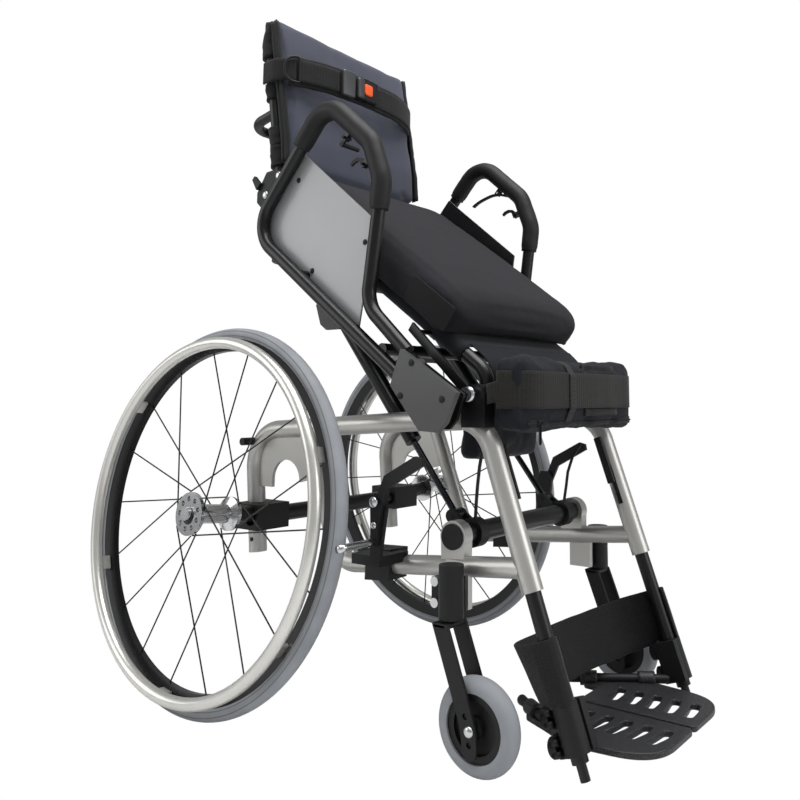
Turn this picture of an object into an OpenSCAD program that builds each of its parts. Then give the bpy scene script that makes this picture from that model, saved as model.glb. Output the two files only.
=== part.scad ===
// Manual standing wheelchair, millimetres, Z up, front towards -Y, occupant's left towards +X.
// Side-view points are [distance ahead of the rear axle, height above the floor].

/* [Rear wheels] */
// Outer diameter of the rear tyre
wheel_d = 600; // [560:5:640]
// Width of the rear tyre
tyre_w = 25; // [22:1:30]
// Lean of the rear wheels, tops inward
camber = 6.2; // [0:0.2:8]
// Distance between the wheel centres
wheel_track = 560; // [550:2:620]
// Spokes in each wheel
spoke_count = 18; // [12:2:24]
// How far the middle of the hand rim lies inside the tyre's tread
handrim_in = 29; // [27:1:40]
// Diameter of the hand rim tube
handrim_tube = 19; // [16:1:20]

/* [Casters] */
// Caster wheel diameter
caster_d = 124; // [110:2:130]
// Caster wheel width
caster_w = 28; // [22:1:32]
// Caster axle ahead of its swivel axis
caster_trail = 46; // [38:1:52]
// Swivel axis to the middle of the chair
caster_x = 210; // [206:1:216]

/* [Side frame] */
// Middle of the frame tubes to the middle of the chair
frame_x = 167; // [165:1:170]
// Main tube diameter
frame_tube = 30; // [26:1:32]
// Lower tube diameter
lower_tube = 28; // [24:1:30]
// Diameter of the sliding foot post
post_d = 22; // [18:1:23]
// Diameter of the front cross tube
cross_d = 30; // [24:1:32]

/* [Seat and back] */
// Seat slope in the half-risen position
lift = 36; // [30:1:40]
// Cushion length
cushion_l = 420; // [380:5:425]
// Cushion width
cushion_w = 376; // [340:2:378]
// Cushion thickness
cushion_h = 58; // [44:1:60]
// Seat tube diameter
seat_tube = 22; // [19:1:24]
// Backrest width
back_w = 352; // [320:2:358]

/* [Arms] */
// Arm tube diameter
arm_tube = 22; // [18:1:23]
// Arm foam diameter
foam_d = 32; // [26:1:34]

/* [Footrest] */
// Front edge of the footplates ahead of the rear axle
plate_ahead = 686; // [670:2:700]
// Height of the footplates' top
plate_top = 41; // [38:1:48]
// Footplate thickness
plate_t = 9; // [6:1:11]

/* [Gas springs] */
// Cylinder diameter of the gas springs
spring_d = 26; // [20:1:28]
// Rod diameter of the gas springs
rod_d = 10; // [8:1:12]

/* [Hidden] */
$fn = 48;

// Clearances and laps
run_gap = 0.05;
seat_gap = 0.3;
open_gap = 2;
lap = 1;
swell = 0.3;
over = 5;

// Wheel sizes that follow
axle_y = (plate_ahead - wheel_d / 2) / 2;
axle_h = (wheel_d - tyre_w) / 2 * cos(camber) + tyre_w / 2;
tyre_h = 19;
rim_depth = 19;
rim_w = 20;
rim_foot = 9;
rim_out = wheel_d / 2 - tyre_h;
rim_in = rim_out - rim_depth;
spoke_d = 2.4;
spoke_swing = 64;
spoke_foot_gap = 1.5;
spoke_tip_gap = 0.4;
spoke_pass = 1.5;
hub_half = 40;
hub_core = 30;
flange_d = 66;
inner_flange_d = 54;
flange_t = 6;
axle_d = 12.7;
handrim_out = 31;
tab_count = 6;
tab_phase = 8;
tab_w = 22;
tab_t = 5;
handrim_d = wheel_d - 2 * handrim_in;
tab_rise = (handrim_d / 2 + tab_t / 2 - rim_in) / rim_depth;
tab_from = rim_foot / 2 + (rim_w - rim_foot) / 2 * tab_rise + seat_gap;

// Side frame points
drop_end = [-20, 222];
rear_corner = [-39, 425];
knee_corner = [455, 454];
leg_end = [534, 228];
rail_front = [524, 257];
rail_corner = [177, 226];
strut_top = [95, 431];
main_bend = 62;
rail_bend = 48;
leg_lean = atan2(leg_end[0] - knee_corner[0], knee_corner[1] - leg_end[1]);
socket_d = 24;
socket_l = 60;
snap_d = 8;
snap_up = 22;
leg_bore_l = 160;
slot_w = 9;
slot_low = 84;
slot_high = 150;
gusset_t = 6;
gusset = [[-26, 332], [-12, 332], [50, 332], [84, 344], [120, 352], [100, 418], [-28, 412]];
arch_mid = [48, 345];
arch_r = 34;
cross_at = [407.6, 287.6];
ear_r = 22;
ear_t = 18;
ear_foot = 40;
cap_t = 3;
plate_x = 12;

// Hinge points
arm_hinge = [413, 452];
seat_hinge = [448, 486];
span = [476, 29];
boss_d = 34;
pin_d = 14;
boss_end = 205;
pin_end = 216;

// Caster sizes that follow
swivel_ahead = 432;
housing_d = 34;
housing_low = 188.5;
housing_h = 70;
stem_d = 12;
crown_h = 186;
crown_t = 7;
fork_t = 5;
fork_gap = 3;
fork_front = 18;
fork_back = 16;
fork_toe = 14;
toe_drop = 22;
bolt_d = 8;
bolt_head = 13;
head_t = 4;
caster_hub_d = 86;

// Axle bar
bar_d = 28;
bar_half = 150;
sleeve_d = 26;
sleeve_l = 92;
clamp_lo = [136, -44, -20];
clamp_size = [66, 64, 42];

function unit(v) = v / norm(v);
function at(x, q) = [x, axle_y - q[0], q[1]];
function turned(q, a) = [q[0] * cos(a) - q[1] * sin(a), q[0] * sin(a) + q[1] * cos(a)];
function on_seat(q) = [seat_hinge[0] - turned(q, lift)[0], seat_hinge[1] + turned(q, lift)[1]];
function on_arm(q) = [arm_hinge[0] - turned(q, lift)[0], arm_hinge[1] + turned(q, lift)[1]];
function bend_angle(u, w) = acos(u * w);
function bend_reach(u, w, r) = r * tan(bend_angle(u, w) / 2);

module along(dir) {
  rotate([0, acos(dir[2] / norm(dir)), atan2(dir[1], dir[0])]) children();
}

module rod(a, b, d) {
  translate(a) along(b - a) cylinder(h = norm(b - a), d = d);
}

// Cylinder along X from x0 to x1 through a side-view point
module pin(x0, x1, q, d) {
  translate(at(x0, q)) rotate([0, 90, 0]) cylinder(h = x1 - x0, d = d);
}

module bend(p, u, w, r, d) {
  start = p - u * bend_reach(u, w, r);
  centre = p + unit(w - u) * r / cos(bend_angle(u, w) / 2);
  e1 = (start - centre) / r;
  e3 = cross(e1, u);
  multmatrix([[e1[0], u[0], e3[0], centre[0]],
              [e1[1], u[1], e3[1], centre[1]],
              [e1[2], u[2], e3[2], centre[2]]])
    rotate_extrude(angle = bend_angle(u, w)) translate([r, 0]) circle(d = d);
}

// Tube along corner points with one bend radius; the bends are a hair thicker than the runs
module bent_tube(pts, r, d) {
  k = len(pts);
  dirs = [for (i = [0:k - 2]) unit(pts[i + 1] - pts[i])];
  cut = [for (i = [0:k - 1]) i == 0 || i == k - 1 ? 0 : bend_reach(dirs[i - 1], dirs[i], r) - lap];
  for (i = [0:k - 2])
    rod(pts[i] + dirs[i] * cut[i], pts[i + 1] - dirs[i] * cut[i + 1], d);
  for (i = [1:1:k - 2])
    bend(pts[i], dirs[i - 1], dirs[i], r, d + swell);
}

// Side-view outline given as [ahead, height], pulled out along X from x0 to x1
module slab(x0, x1, pts) {
  translate([x0, axle_y, 0]) rotate([90, 0, 90]) linear_extrude(x1 - x0)
    polygon([for (q = pts) [-q[0], q[1]]]);
}

module mirrored() {
  mirror([1, 0, 0]) children();
}

module both() {
  children();
  mirrored() children();
}

module on_wheel() {
  translate([wheel_track / 2, axle_y, axle_h]) rotate([0, -camber, 0]) children();
}

module ring() {
  rotate([0, 90, 0]) rotate_extrude() children();
}

// Frame with Z up along the leg and the origin at the end of the leg tube
module on_leg() {
  translate([0, axle_y - leg_end[0], leg_end[1]]) rotate([-leg_lean, 0, 0]) children();
}

// Rounded closed form for soft pieces, from the middle of its box
function soft_pow(v, e) = sign(v) * pow(abs(v), e);
soft_rows = 12;
soft_cols = 44;
plump_e = 0.42;
plan_e = 0.22;
module soft(size) {
  pts = concat([[0, 0, -size[2] / 2]],
    [for (i = [1:soft_rows - 1], j = [0:soft_cols - 1])
      let (a = 180 * i / soft_rows - 90, b = 360 * j / soft_cols)
      [size[0] / 2 * soft_pow(cos(a), plump_e) * soft_pow(cos(b), plan_e),
       size[1] / 2 * soft_pow(cos(a), plump_e) * soft_pow(sin(b), plan_e),
       size[2] / 2 * soft_pow(sin(a), plump_e)]],
    [[0, 0, size[2] / 2]]);
  top = len(pts) - 1;
  faces = concat(
    [for (j = [0:soft_cols - 1]) [0, 1 + j, 1 + (j + 1) % soft_cols]],
    [for (i = [0:soft_rows - 3], j = [0:soft_cols - 1])
      let (a = 1 + i * soft_cols + j, b = 1 + i * soft_cols + (j + 1) % soft_cols)
      each [[a, a + soft_cols, b], [b, a + soft_cols, b + soft_cols]]],
    [for (j = [0:soft_cols - 1])
      let (s = 1 + (soft_rows - 2) * soft_cols)
      [top, s + (j + 1) % soft_cols, s + j]]);
  polyhedron(pts, faces);
}

// Flat strap standing on edge: plan points, thickness, height
function strap_normal(p, i) =
  let (a = p[max(i - 1, 0)], b = p[min(i + 1, len(p) - 1)], d = unit(b - a)) [-d[1], d[0]];
module strap(p, t, h) {
  left = [for (i = [0:len(p) - 1]) p[i] + strap_normal(p, i) * t / 2];
  back = [for (i = [len(p) - 1:-1:0]) p[i] - strap_normal(p, i) * t / 2];
  linear_extrude(h) polygon(concat(left, back));
}

// Side frame, drawn on the left
module side_frame() {
  drop = at(frame_x, drop_end);
  drop_dir = unit(at(frame_x, rear_corner) - drop);
  difference() {
    union() {
      bent_tube([drop, at(frame_x, rear_corner), at(frame_x, knee_corner), at(frame_x, leg_end)],
        main_bend, frame_tube);
      bent_tube([at(frame_x, rail_front), at(frame_x, rail_corner), at(frame_x, strut_top)],
        rail_bend, lower_tube);
      difference() {
        slab(frame_x - gusset_t / 2, frame_x + gusset_t / 2, gusset);
        pin(frame_x - gusset_t, frame_x + gusset_t, arch_mid, 2 * arch_r);
        slab(frame_x - gusset_t, frame_x + gusset_t,
          [[arch_mid[0] - arch_r, arch_mid[1]], [arch_mid[0] + arch_r, arch_mid[1]],
           [arch_mid[0] + arch_r, drop_end[1]], [arch_mid[0] - arch_r, drop_end[1]]]);
      }
      pin(frame_x - ear_t / 2, frame_x + ear_t / 2, cross_at, 2 * ear_r);
      slab(frame_x - ear_t / 2, frame_x + ear_t / 2,
        [[cross_at[0] - ear_foot / 2, rail_front[1] - lower_tube / 2], cross_at - [ear_r - lap, 0],
         cross_at + [ear_r - lap, 0], [cross_at[0] + ear_foot / 2, rail_front[1] - lower_tube / 2]]);
      slab(frame_x + over / 2, frame_x + plate_x,
        [[swivel_ahead - housing_d, housing_low + over], [swivel_ahead + over, housing_low + over],
         [swivel_ahead + over, rail_front[1]], [swivel_ahead - housing_d, rail_front[1]]]);
      pin(frame_x, boss_end - seat_gap, arm_hinge, boss_d);
      pin(frame_x, pin_end, arm_hinge, pin_d);
    }
    translate(drop - drop_dir * over) along(drop_dir) cylinder(h = socket_l + over, d = socket_d);
    pin(frame_x, frame_x + frame_tube, drop_end + [0, snap_up], snap_d);
    on_leg() translate([frame_x, 0, -over]) cylinder(h = leg_bore_l + over, d = post_d + 2 * run_gap);
    on_leg() translate([frame_x - frame_tube, -slot_w / 2, slot_low])
      cube([frame_tube, slot_w, slot_high - slot_low]);
    pin(0, frame_x + frame_tube, cross_at, cross_d);
    translate([0, axle_y, bar_h]) rotate([0, 90, 0])
      cylinder(h = bar_half + seat_gap, d = bar_d + 2 * seat_gap);
    on_wheel() translate([-sleeve_far - seat_gap, 0, 0]) rotate([0, 90, 0])
      cylinder(h = sleeve_l, d = sleeve_d + 2 * seat_gap);
  }
}
module left_side_frame() color("silver") side_frame();
module right_side_frame() color("silver") mirrored() side_frame();

module cross_tube() color("dimgray")
  pin(-frame_x - ear_t / 2, frame_x + ear_t / 2, cross_at, cross_d);

bumper_at = [-26, 408];
bumper_d = 13;
bumper_l = 22;
bumper_in = 4;
module end_caps() color("black") both() {
  pin(frame_x + ear_t / 2, frame_x + ear_t / 2 + cap_t, cross_at, cross_d + 2 * cap_t);
  difference() {
    pin(frame_x + frame_tube / 2 - bumper_in, frame_x + frame_tube / 2 + bumper_l, bumper_at, bumper_d);
    bent_tube([at(frame_x, drop_end), at(frame_x, rear_corner), at(frame_x, knee_corner)],
      main_bend, frame_tube + seat_gap);
  }
}

// Straight bar with a sleeve along each leaning wheel axle
hub_end = hub_half + open_gap;
sleeve_far = hub_end + sleeve_l;
bar_h = axle_h - (wheel_track / 2 - bar_half) * tan(camber);
module axle_bar() color("dimgray") difference() {
  union() {
    translate([-bar_half, axle_y, bar_h]) rotate([0, 90, 0]) cylinder(h = 2 * bar_half, d = bar_d);
    both() on_wheel() translate([-sleeve_far, 0, 0]) rotate([0, 90, 0])
      cylinder(h = sleeve_l, d = sleeve_d);
  }
  both() on_wheel() translate([-sleeve_far + over, 0, 0]) rotate([0, 90, 0])
    cylinder(h = sleeve_l, d = axle_d);
}

module axle_clamps() color("black") both() difference() {
  translate([clamp_lo[0], axle_y + clamp_lo[2], bar_h - clamp_size[2] / 2]) cube(clamp_size);
  rod(at(frame_x, drop_end), at(frame_x, rear_corner), frame_tube + seat_gap);
  translate([0, axle_y, bar_h]) rotate([0, 90, 0]) cylinder(h = wheel_track, d = bar_d + seat_gap);
  on_wheel() translate([-sleeve_far, 0, 0]) rotate([0, 90, 0])
    cylinder(h = sleeve_l, d = sleeve_d + swell);
}

// Casters, drawn on the left
module at_swivel() {
  translate([caster_x, axle_y - swivel_ahead, 0]) children();
}
module at_caster() {
  translate([caster_x, axle_y - swivel_ahead - caster_trail, caster_d / 2]) children();
}
flange_l = 34;
flange_h = 50;
module caster_housings() color("black") both() at_swivel() difference() {
  union() {
    translate([0, 0, housing_low]) cylinder(h = housing_h, d = housing_d);
    translate([frame_x + plate_x - caster_x + seat_gap, 0, housing_low + over])
      cube([caster_x - frame_x - plate_x - seat_gap, flange_l, flange_h - over]);
  }
  translate([0, 0, housing_low - over]) cylinder(h = housing_h, d = stem_d + 2 * run_gap);
}

fork_half = caster_w / 2 + fork_gap + fork_t;
module caster_fork() {
  at_swivel() translate([0, 0, crown_h - over]) cylinder(h = housing_h - over, d = stem_d);
  difference() {
    translate([caster_x, 0, 0]) union() {
      slab(-fork_half, fork_half,
        [[swivel_ahead - fork_back, crown_h], [swivel_ahead - fork_back, crown_h - crown_t],
         [swivel_ahead + fork_front, crown_h - crown_t], [swivel_ahead + fork_front, crown_h]]);
      for (s = [-1, 1])
        translate([s * (fork_half - fork_t / 2), 0, 0]) {
          slab(-fork_t / 2, fork_t / 2,
            [[swivel_ahead - fork_back, crown_h - lap], [swivel_ahead + fork_front, crown_h - lap],
             [swivel_ahead + caster_trail + fork_toe, caster_d / 2],
             [swivel_ahead + caster_trail + fork_toe, caster_d / 2 - toe_drop],
             [swivel_ahead + caster_trail - fork_toe, caster_d / 2 - toe_drop],
             [swivel_ahead + caster_trail - fork_toe, caster_d / 2]]);
          pin(-fork_t / 2, fork_t / 2, [swivel_ahead + caster_trail, caster_d / 2 - toe_drop],
            2 * fork_toe);
        }
    }
    pin(0, caster_x + fork_half + over, [swivel_ahead + caster_trail, caster_d / 2 - fork_toe], bolt_d);
    pin(0, caster_x + fork_half + over, [swivel_ahead + caster_trail, caster_d / 2 - toe_drop - lap],
      bolt_d);
  }
  at_caster() rotate([0, 90, 0]) {
    translate([0, 0, -fork_half - head_t]) cylinder(h = head_t + swell, d = bolt_head, $fn = 6);
    translate([0, 0, -fork_half]) cylinder(h = 2 * fork_half, d = bolt_d);
    translate([0, 0, fork_half - swell]) cylinder(h = head_t + swell, d = bolt_head, $fn = 6);
  }
}
module left_caster_fork() color("gray") caster_fork();
module right_caster_fork() color("gray") mirrored() caster_fork();

module caster_tyre() at_caster() ring() difference() {
  translate([caster_d / 2 - caster_w / 2, 0]) circle(d = caster_w);
  translate([-over, -caster_w]) square([caster_hub_d / 2 + over, 2 * caster_w]);
}
module left_caster_tyre() color("black") caster_tyre();
module right_caster_tyre() color("black") mirrored() caster_tyre();

caster_web = 10;
caster_rim = 33;
caster_nave = 14;
module caster_hub() at_caster() ring() polygon([
  [bolt_d / 2 + run_gap, -caster_w / 2], [caster_nave, -caster_w / 2], [caster_nave, -caster_web / 2],
  [caster_rim, -caster_web / 2], [caster_rim, -caster_web], [caster_hub_d / 2, -caster_web],
  [caster_hub_d / 2, caster_web], [caster_rim, caster_web], [caster_rim, caster_web / 2],
  [caster_nave, caster_web / 2], [caster_nave, caster_w / 2], [bolt_d / 2 + run_gap, caster_w / 2]]);
module left_caster_hub() color("black") caster_hub();
module right_caster_hub() color("black") mirrored() caster_hub();

// Rear wheel pieces, drawn on the left with X outward
module tyre() on_wheel() ring() difference() {
  translate([wheel_d / 2 - tyre_w / 2, 0]) circle(d = tyre_w);
  translate([0, -tyre_w]) square([rim_out, 2 * tyre_w]);
}
module left_tyre() color("gray") tyre();
module right_tyre() color("gray") mirrored() tyre();

module rim() on_wheel() ring() polygon([[rim_in, -rim_foot / 2], [rim_out, -rim_w / 2],
  [rim_out, rim_w / 2], [rim_in, rim_foot / 2]]);
module left_rim() color("black") rim();
module right_rim() color("black") mirrored() rim();

function spoke_end(r, a, x) = [x, r * cos(a), r * sin(a)];
module spokes() on_wheel() for (i = [0:spoke_count - 1]) {
  outside = i % 2;
  swing = (floor(i / 2) % 2 == 0 ? 1 : -1) * spoke_swing;
  a = 360 * i / spoke_count;
  foot = (outside == 1 ? flange_d / 2 : inner_flange_d / 2) + spoke_foot_gap;
  pass = sign(swing) * spoke_pass;
  rod(spoke_end(foot, a + swing, (outside == 1 ? 1 : -1) * (hub_half - flange_t / 2) + pass),
    spoke_end(rim_in - spoke_tip_gap, a, 0), spoke_d);
}
module left_spokes() color("black") spokes();
module right_spokes() color("black") mirrored() spokes();

flange_holes = 9;
flange_hole_d = 8;
flange_hole_r = 23;
module hub() on_wheel() difference() {
  ring() polygon([[axle_d / 2 + run_gap, -hub_half], [inner_flange_d / 2, -hub_half],
    [inner_flange_d / 2, flange_t - hub_half], [hub_core / 2, 2 * flange_t - hub_half],
    [hub_core / 2, hub_half - 2 * flange_t], [flange_d / 2, hub_half - flange_t],
    [flange_d / 2, hub_half], [axle_d / 2 + run_gap, hub_half]]);
  for (i = [0:flange_holes - 1])
    rotate([360 * i / flange_holes, 0, 0]) translate([hub_half - 2 * flange_t, flange_hole_r, 0])
      rotate([0, 90, 0]) cylinder(h = 2 * flange_t + over, d = flange_hole_d);
}
module left_hub() color("silver") hub();
module right_hub() color("silver") mirrored() hub();

module handrim() on_wheel() {
  translate([handrim_out, 0, 0]) ring() translate([handrim_d / 2, 0]) circle(d = handrim_tube);
  for (i = [0:tab_count - 1])
    rotate([360 * i / tab_count + tab_phase, 0, 0])
      translate([tab_from, -tab_w / 2, handrim_d / 2 - tab_t / 2])
        cube([handrim_out - tab_from, tab_w, tab_t]);
}
module left_handrim() color("silver") handrim();
module right_handrim() color("silver") mirrored() handrim();

// Knee brackets, cables, springs and brakes carried by the frame
knee_in = 163;
knee_out = 187;
knee_block = [[430, 440], [470, 440], [471, 486], [462, 500], [436, 500], [430, 486]];
screw_d = 10;
screw_head_d = 19;
stay_out = 194;
screw_t = 8;
module knee_brackets() color("black") both() difference() {
  slab(knee_in, knee_out, knee_block);
  bent_tube([at(frame_x, rear_corner), at(frame_x, knee_corner), at(frame_x, leg_end)],
    main_bend, frame_tube + seat_gap);
  pin(frame_x - frame_tube, knee_out + over, seat_hinge, screw_d);
}

axle_cap_d = 20;
axle_cap_t = 6;
module frame_bolts() color("silver") both() {
  pin(seat_x - seat_eye_w / 2, stay_out + lap, seat_hinge, screw_d);
  pin(stay_out + lap, stay_out + lap + screw_t, seat_hinge, screw_head_d);
  on_wheel() rotate([0, 90, 0]) {
    translate([0, 0, over - sleeve_far]) cylinder(h = sleeve_far - over + hub_half + lap, d = axle_d);
    translate([0, 0, hub_half + lap]) cylinder(h = axle_cap_t, d = axle_cap_d);
  }
  for (h = [housing_low + housing_d / 2, housing_low + flange_h - over])
    pin(caster_x + seat_gap, caster_x + head_t, [swivel_ahead - flange_l + bolt_head / 2 + lap, h],
      bolt_head);
}

pad_size = [336, 54, 96];
pad_at = [504, 485];
pad_tab = [[471.3, 472], [471.3, 500], [499, 500], [499, 472]];
pad_tab_t = 9;
module knee_pad() color("navy") {
  translate(at(0, pad_at)) soft(pad_size);
  both() slab(knee_in, knee_in + pad_tab_t, pad_tab);
}

spring_x = 125;
spring_foot = [375, 309];
spring_head = [127, 620];
spring_dir = unit(at(0, spring_head) - at(0, spring_foot));
spring_len = norm(spring_head - spring_foot);
collar_d = 42;
collar_w = 20;
eye_d = 20;
eye_w = 14;
fork_w = 6;
module spring_clamps() color("dimgray") both() difference() {
  union() {
    pin(spring_x - collar_w / 2, spring_x + collar_w / 2, cross_at, collar_d);
    for (s = [-1, 1])
      translate([s * (eye_w / 2 + seat_gap + fork_w / 2), 0, 0]) {
        pin(spring_x - fork_w / 2, spring_x + fork_w / 2, spring_foot, eye_d);
        slab(spring_x - fork_w / 2, spring_x + fork_w / 2,
          [cross_at + [0, eye_d / 2], spring_foot + [0, eye_d / 2], spring_foot - [0, eye_d / 2],
           cross_at - [0, eye_d / 2]]);
      }
    pin(spring_x - eye_w, spring_x + eye_w, spring_foot, bolt_d);
  }
  pin(spring_x - collar_w, spring_x + collar_w, cross_at, cross_d + seat_gap);
}

rod_l = 250;
cylinder_l = 262;
bore_in = 6;
module on_spring() {
  translate(at(spring_x, spring_foot)) along(spring_dir) children();
}
module spring_rod() {
  difference() {
    union() {
      translate([-eye_w / 2, 0, 0]) on_spring_foot() cylinder(h = eye_w, d = eye_d);
      on_spring() cylinder(h = rod_l, d = rod_d);
    }
    pin(spring_x - eye_w, spring_x + eye_w, spring_foot, bolt_d + 2 * run_gap);
  }
}
module on_spring_foot() {
  translate(at(spring_x, spring_foot)) rotate([0, 90, 0]) children();
}
module left_spring_rod() color("silver") spring_rod();
module right_spring_rod() color("silver") mirrored() spring_rod();
module spring_cylinder() {
  difference() {
    on_spring() translate([0, 0, spring_len - cylinder_l]) cylinder(h = cylinder_l, d = spring_d);
    on_spring() translate([0, 0, spring_len - cylinder_l - over])
      cylinder(h = cylinder_l - bore_in, d = rod_d + 2 * run_gap);
  }
  pin(spring_x - eye_w / 2, spring_x + eye_w / 2, spring_head, spring_d);
}
module left_spring_cylinder() color("black") spring_cylinder();
module right_spring_cylinder() color("black") mirrored() spring_cylinder();

cable_d = 5;
cable_sides = 10;
cable_pts = [[145, 436, 404], [136, 425, 382], [131, 418, 356], [130, 415, 332], [128, 412, 309]];
module release_cables() color("black") both() cable([for (c = cable_pts) at(c[0], [c[1], c[2]])]);
function cable_dir(p, i) = unit(p[min(i + 1, len(p) - 1)] - p[max(i - 1, 0)]);
module cable(p) {
  k = len(p);
  pts = [for (i = [0:k - 1], j = [0:cable_sides - 1])
    let (w = cable_dir(p, i), e = unit(cross([1, 0, 0], w)), n = cross(w, e), a = 360 * j / cable_sides)
    p[i] + (e * cos(a) + n * sin(a)) * cable_d / 2];
  sides = [for (i = [0:k - 2], j = [0:cable_sides - 1])
    let (a = i * cable_sides + j, b = i * cable_sides + (j + 1) % cable_sides)
    [a, a + cable_sides, b + cable_sides, b]];
  polyhedron(pts, concat(sides, [[for (j = [0:cable_sides - 1]) j],
    [for (j = [cable_sides - 1:-1:0]) (k - 1) * cable_sides + j]]));
}

brake_x = 235;
brake_pivot = [316, 335];
brake_pin_at = [312, 279];
brake_pin_d = 10;
brake_pin_end = 303;
brake_t = 6;
brake_clamp = [[250, 212], [298, 216], [300, 260], [252, 258]];
brake_shelf = [[264, 244], [318, 244], [318, 258], [264, 258]];
brake_plate = [[300, 252], [318, 252], [330, 330], [324, 346], [306, 346], [300, 330]];
brake_lever_pts = [[304, 333], [318, 345], [330, 372], [386, 401], [398, 398], [400, 388],
  [340, 356], [326, 326], [319, 290], [318, 274], [306, 274], [306, 290]];
module brake_brackets() color("black") both() difference() {
  union() {
    slab(frame_x - lower_tube / 2 - brake_t, frame_x + lower_tube / 2 + brake_t, brake_clamp);
    slab(frame_x, brake_x - brake_t, brake_shelf);
    slab(brake_x - 2 * brake_t, brake_x - brake_t, brake_plate);
    pin(brake_x - brake_t - lap, brake_x + brake_t, brake_pivot, bolt_d);
  }
  rod(at(frame_x, rail_front), at(frame_x, rail_corner), lower_tube + seat_gap);
}
module brake_lever() {
  difference() {
    slab(brake_x - brake_t + seat_gap, brake_x, brake_lever_pts);
    pin(brake_x - 2 * brake_t, brake_x + brake_t, brake_pivot, bolt_d + 2 * run_gap);
  }
  pin(brake_x - lap, brake_pin_end, brake_pin_at, brake_pin_d);
}
module left_brake_lever() color("black") brake_lever();
module right_brake_lever() color("black") mirrored() brake_lever();

// Seat
seat_x = 149;
seat_eye_w = 26;
seat_eye_d = 26;
seat_up = 25;
seat_nose = [20, 25];
seat_bend = 32;
seat_end = 488;
stay_x = 189;
stay_w = 14;
stay_far = 146;
stay_t = 5;
tie_at = 210;
module seat_frame() color("dimgray") {
  both() {
    difference() {
      union() {
        bent_tube([at(seat_x, seat_hinge), at(seat_x, on_seat(seat_nose)),
          at(seat_x, on_seat([seat_end, seat_up]))], seat_bend, seat_tube);
        pin(seat_x - seat_eye_w / 2, seat_x + seat_eye_w / 2, seat_hinge, seat_eye_d);
      }
      pin(0, frame_x, seat_hinge, screw_d + 2 * run_gap);
    }
    pin(seat_x, tail_end, on_seat(span), tail_pin);
    difference() {
      slab(stay_x, stay_x + stay_t, [for (q = [[0, stay_w / 2], [0, -stay_w / 2],
        [stay_far, seat_up - stay_w], [stay_far, seat_up]]) on_seat(q)]);
      pin(stay_x - over, stay_x + over + stay_t, seat_hinge, screw_d + 2 * run_gap);
    }
    pin(seat_x, stay_x + lap, on_seat([stay_far - stay_w, seat_up - stay_w / 2]), stay_w / 2);
  }
  pin(-seat_x, seat_x, on_seat([tie_at, seat_up]), seat_tube - lap);
  pin(-seat_x, seat_x, on_seat([seat_end - seat_tube, seat_up]), seat_tube - lap);
}

sling_x = 172;
apron_x = 134;
sling_t = 3;
sling_top = seat_up + seat_tube / 2 + seat_gap + sling_t;
sling_front = 64;
apron = [[64, 36.6], [64, 39.3], [40, 38], [18, 26], [4, 8], [-4, -8], [-1, -9], [8, 6], [21, 22], [42,
  35]];
pouch_x = 95;
pouch_tops = [134, 116];
pouch = [[352, 470], [347, 392], [358, 385], [384, 387], [393, 396], [386, 470]];
module seat_sling() color("midnightblue") {
  slab(-sling_x, sling_x, [for (q = [[sling_front, sling_top - sling_t], [sling_front, sling_top],
    [seat_end, sling_top], [seat_end, sling_top - sling_t]]) on_seat(q)]);
  slab(-apron_x, apron_x, [for (q = apron) on_seat(q)]);
  slab(-pouch_x, pouch_x, concat([for (u = pouch_tops) on_seat([u, sling_top - sling_t])],
    [for (i = [1:len(pouch)]) pouch[len(pouch) - i]]));
}

cushion_from = 100;
module seat_cushion() color("midnightblue")
  translate(at(0, on_seat([cushion_from + cushion_l / 2, sling_top + seat_gap + cushion_h / 2])))
    rotate([lift, 0, 0]) soft([cushion_w, cushion_l, cushion_h]);

// Arms
arm_x = 212;
arm_pts = [[413, 455], [-2, 767], [173, 964], [273.5, 875], [296.8, 812.4], [270, 621], [352, 547]];
arm_bend = 52;
plate_in = 206;
plate_out = 211;
hinge_plate = [[358, 546], [342, 503], [392, 438], [428, 438], [440, 450], [452, 486]];
lug_in = 183;
lug_face = 195.7;
arm_lug_d = 34;
horn_at = [17, 768.6];
horn_d = 10;
horn_w = 20;
tail_pin = 12;
tail_end = 182;
module arm_frame() {
  difference() {
    union() {
      bent_tube([for (q = arm_pts) at(arm_x, q)], arm_bend, arm_tube);
      slab(plate_in, plate_out, hinge_plate);
      pin(lug_in + lap, lug_face, on_arm(span), arm_lug_d - 2 * over);
      slab(lug_in + lap, lug_face, bar(on_arm(span), horn_at, horn_w));
      pin(lug_in + lap, arm_x, horn_at, horn_d);
      pin(tail_in - seat_gap, lug_face, on_arm(span), tail_pin);
      for (i = [0, 1])
        slab(arm_x - lever_lug / 2, arm_x + lever_lug / 2, bar(lever_tips[i], lever_feet[i], lever_lug));
    }
    pin(plate_in - over, arm_x + arm_tube, arm_hinge, pin_d + 2 * run_gap);
    pin(arm_x - arm_tube, boss_end, arm_hinge, boss_d + 2 * seat_gap);
    for (q = lever_roots)
      pin(arm_x - arm_tube, arm_x + arm_tube, q, lever_pin + 2 * run_gap);
    for (q = lever_roots)
      pin(arm_x - lever_t / 2 - seat_gap, arm_x + lever_t / 2 + seat_gap, q, lever_eye + 2 * lever_room);
  }
}
module left_arm_frame() color("dimgray") arm_frame();
module right_arm_frame() color("dimgray") mirrored() arm_frame();

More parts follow.
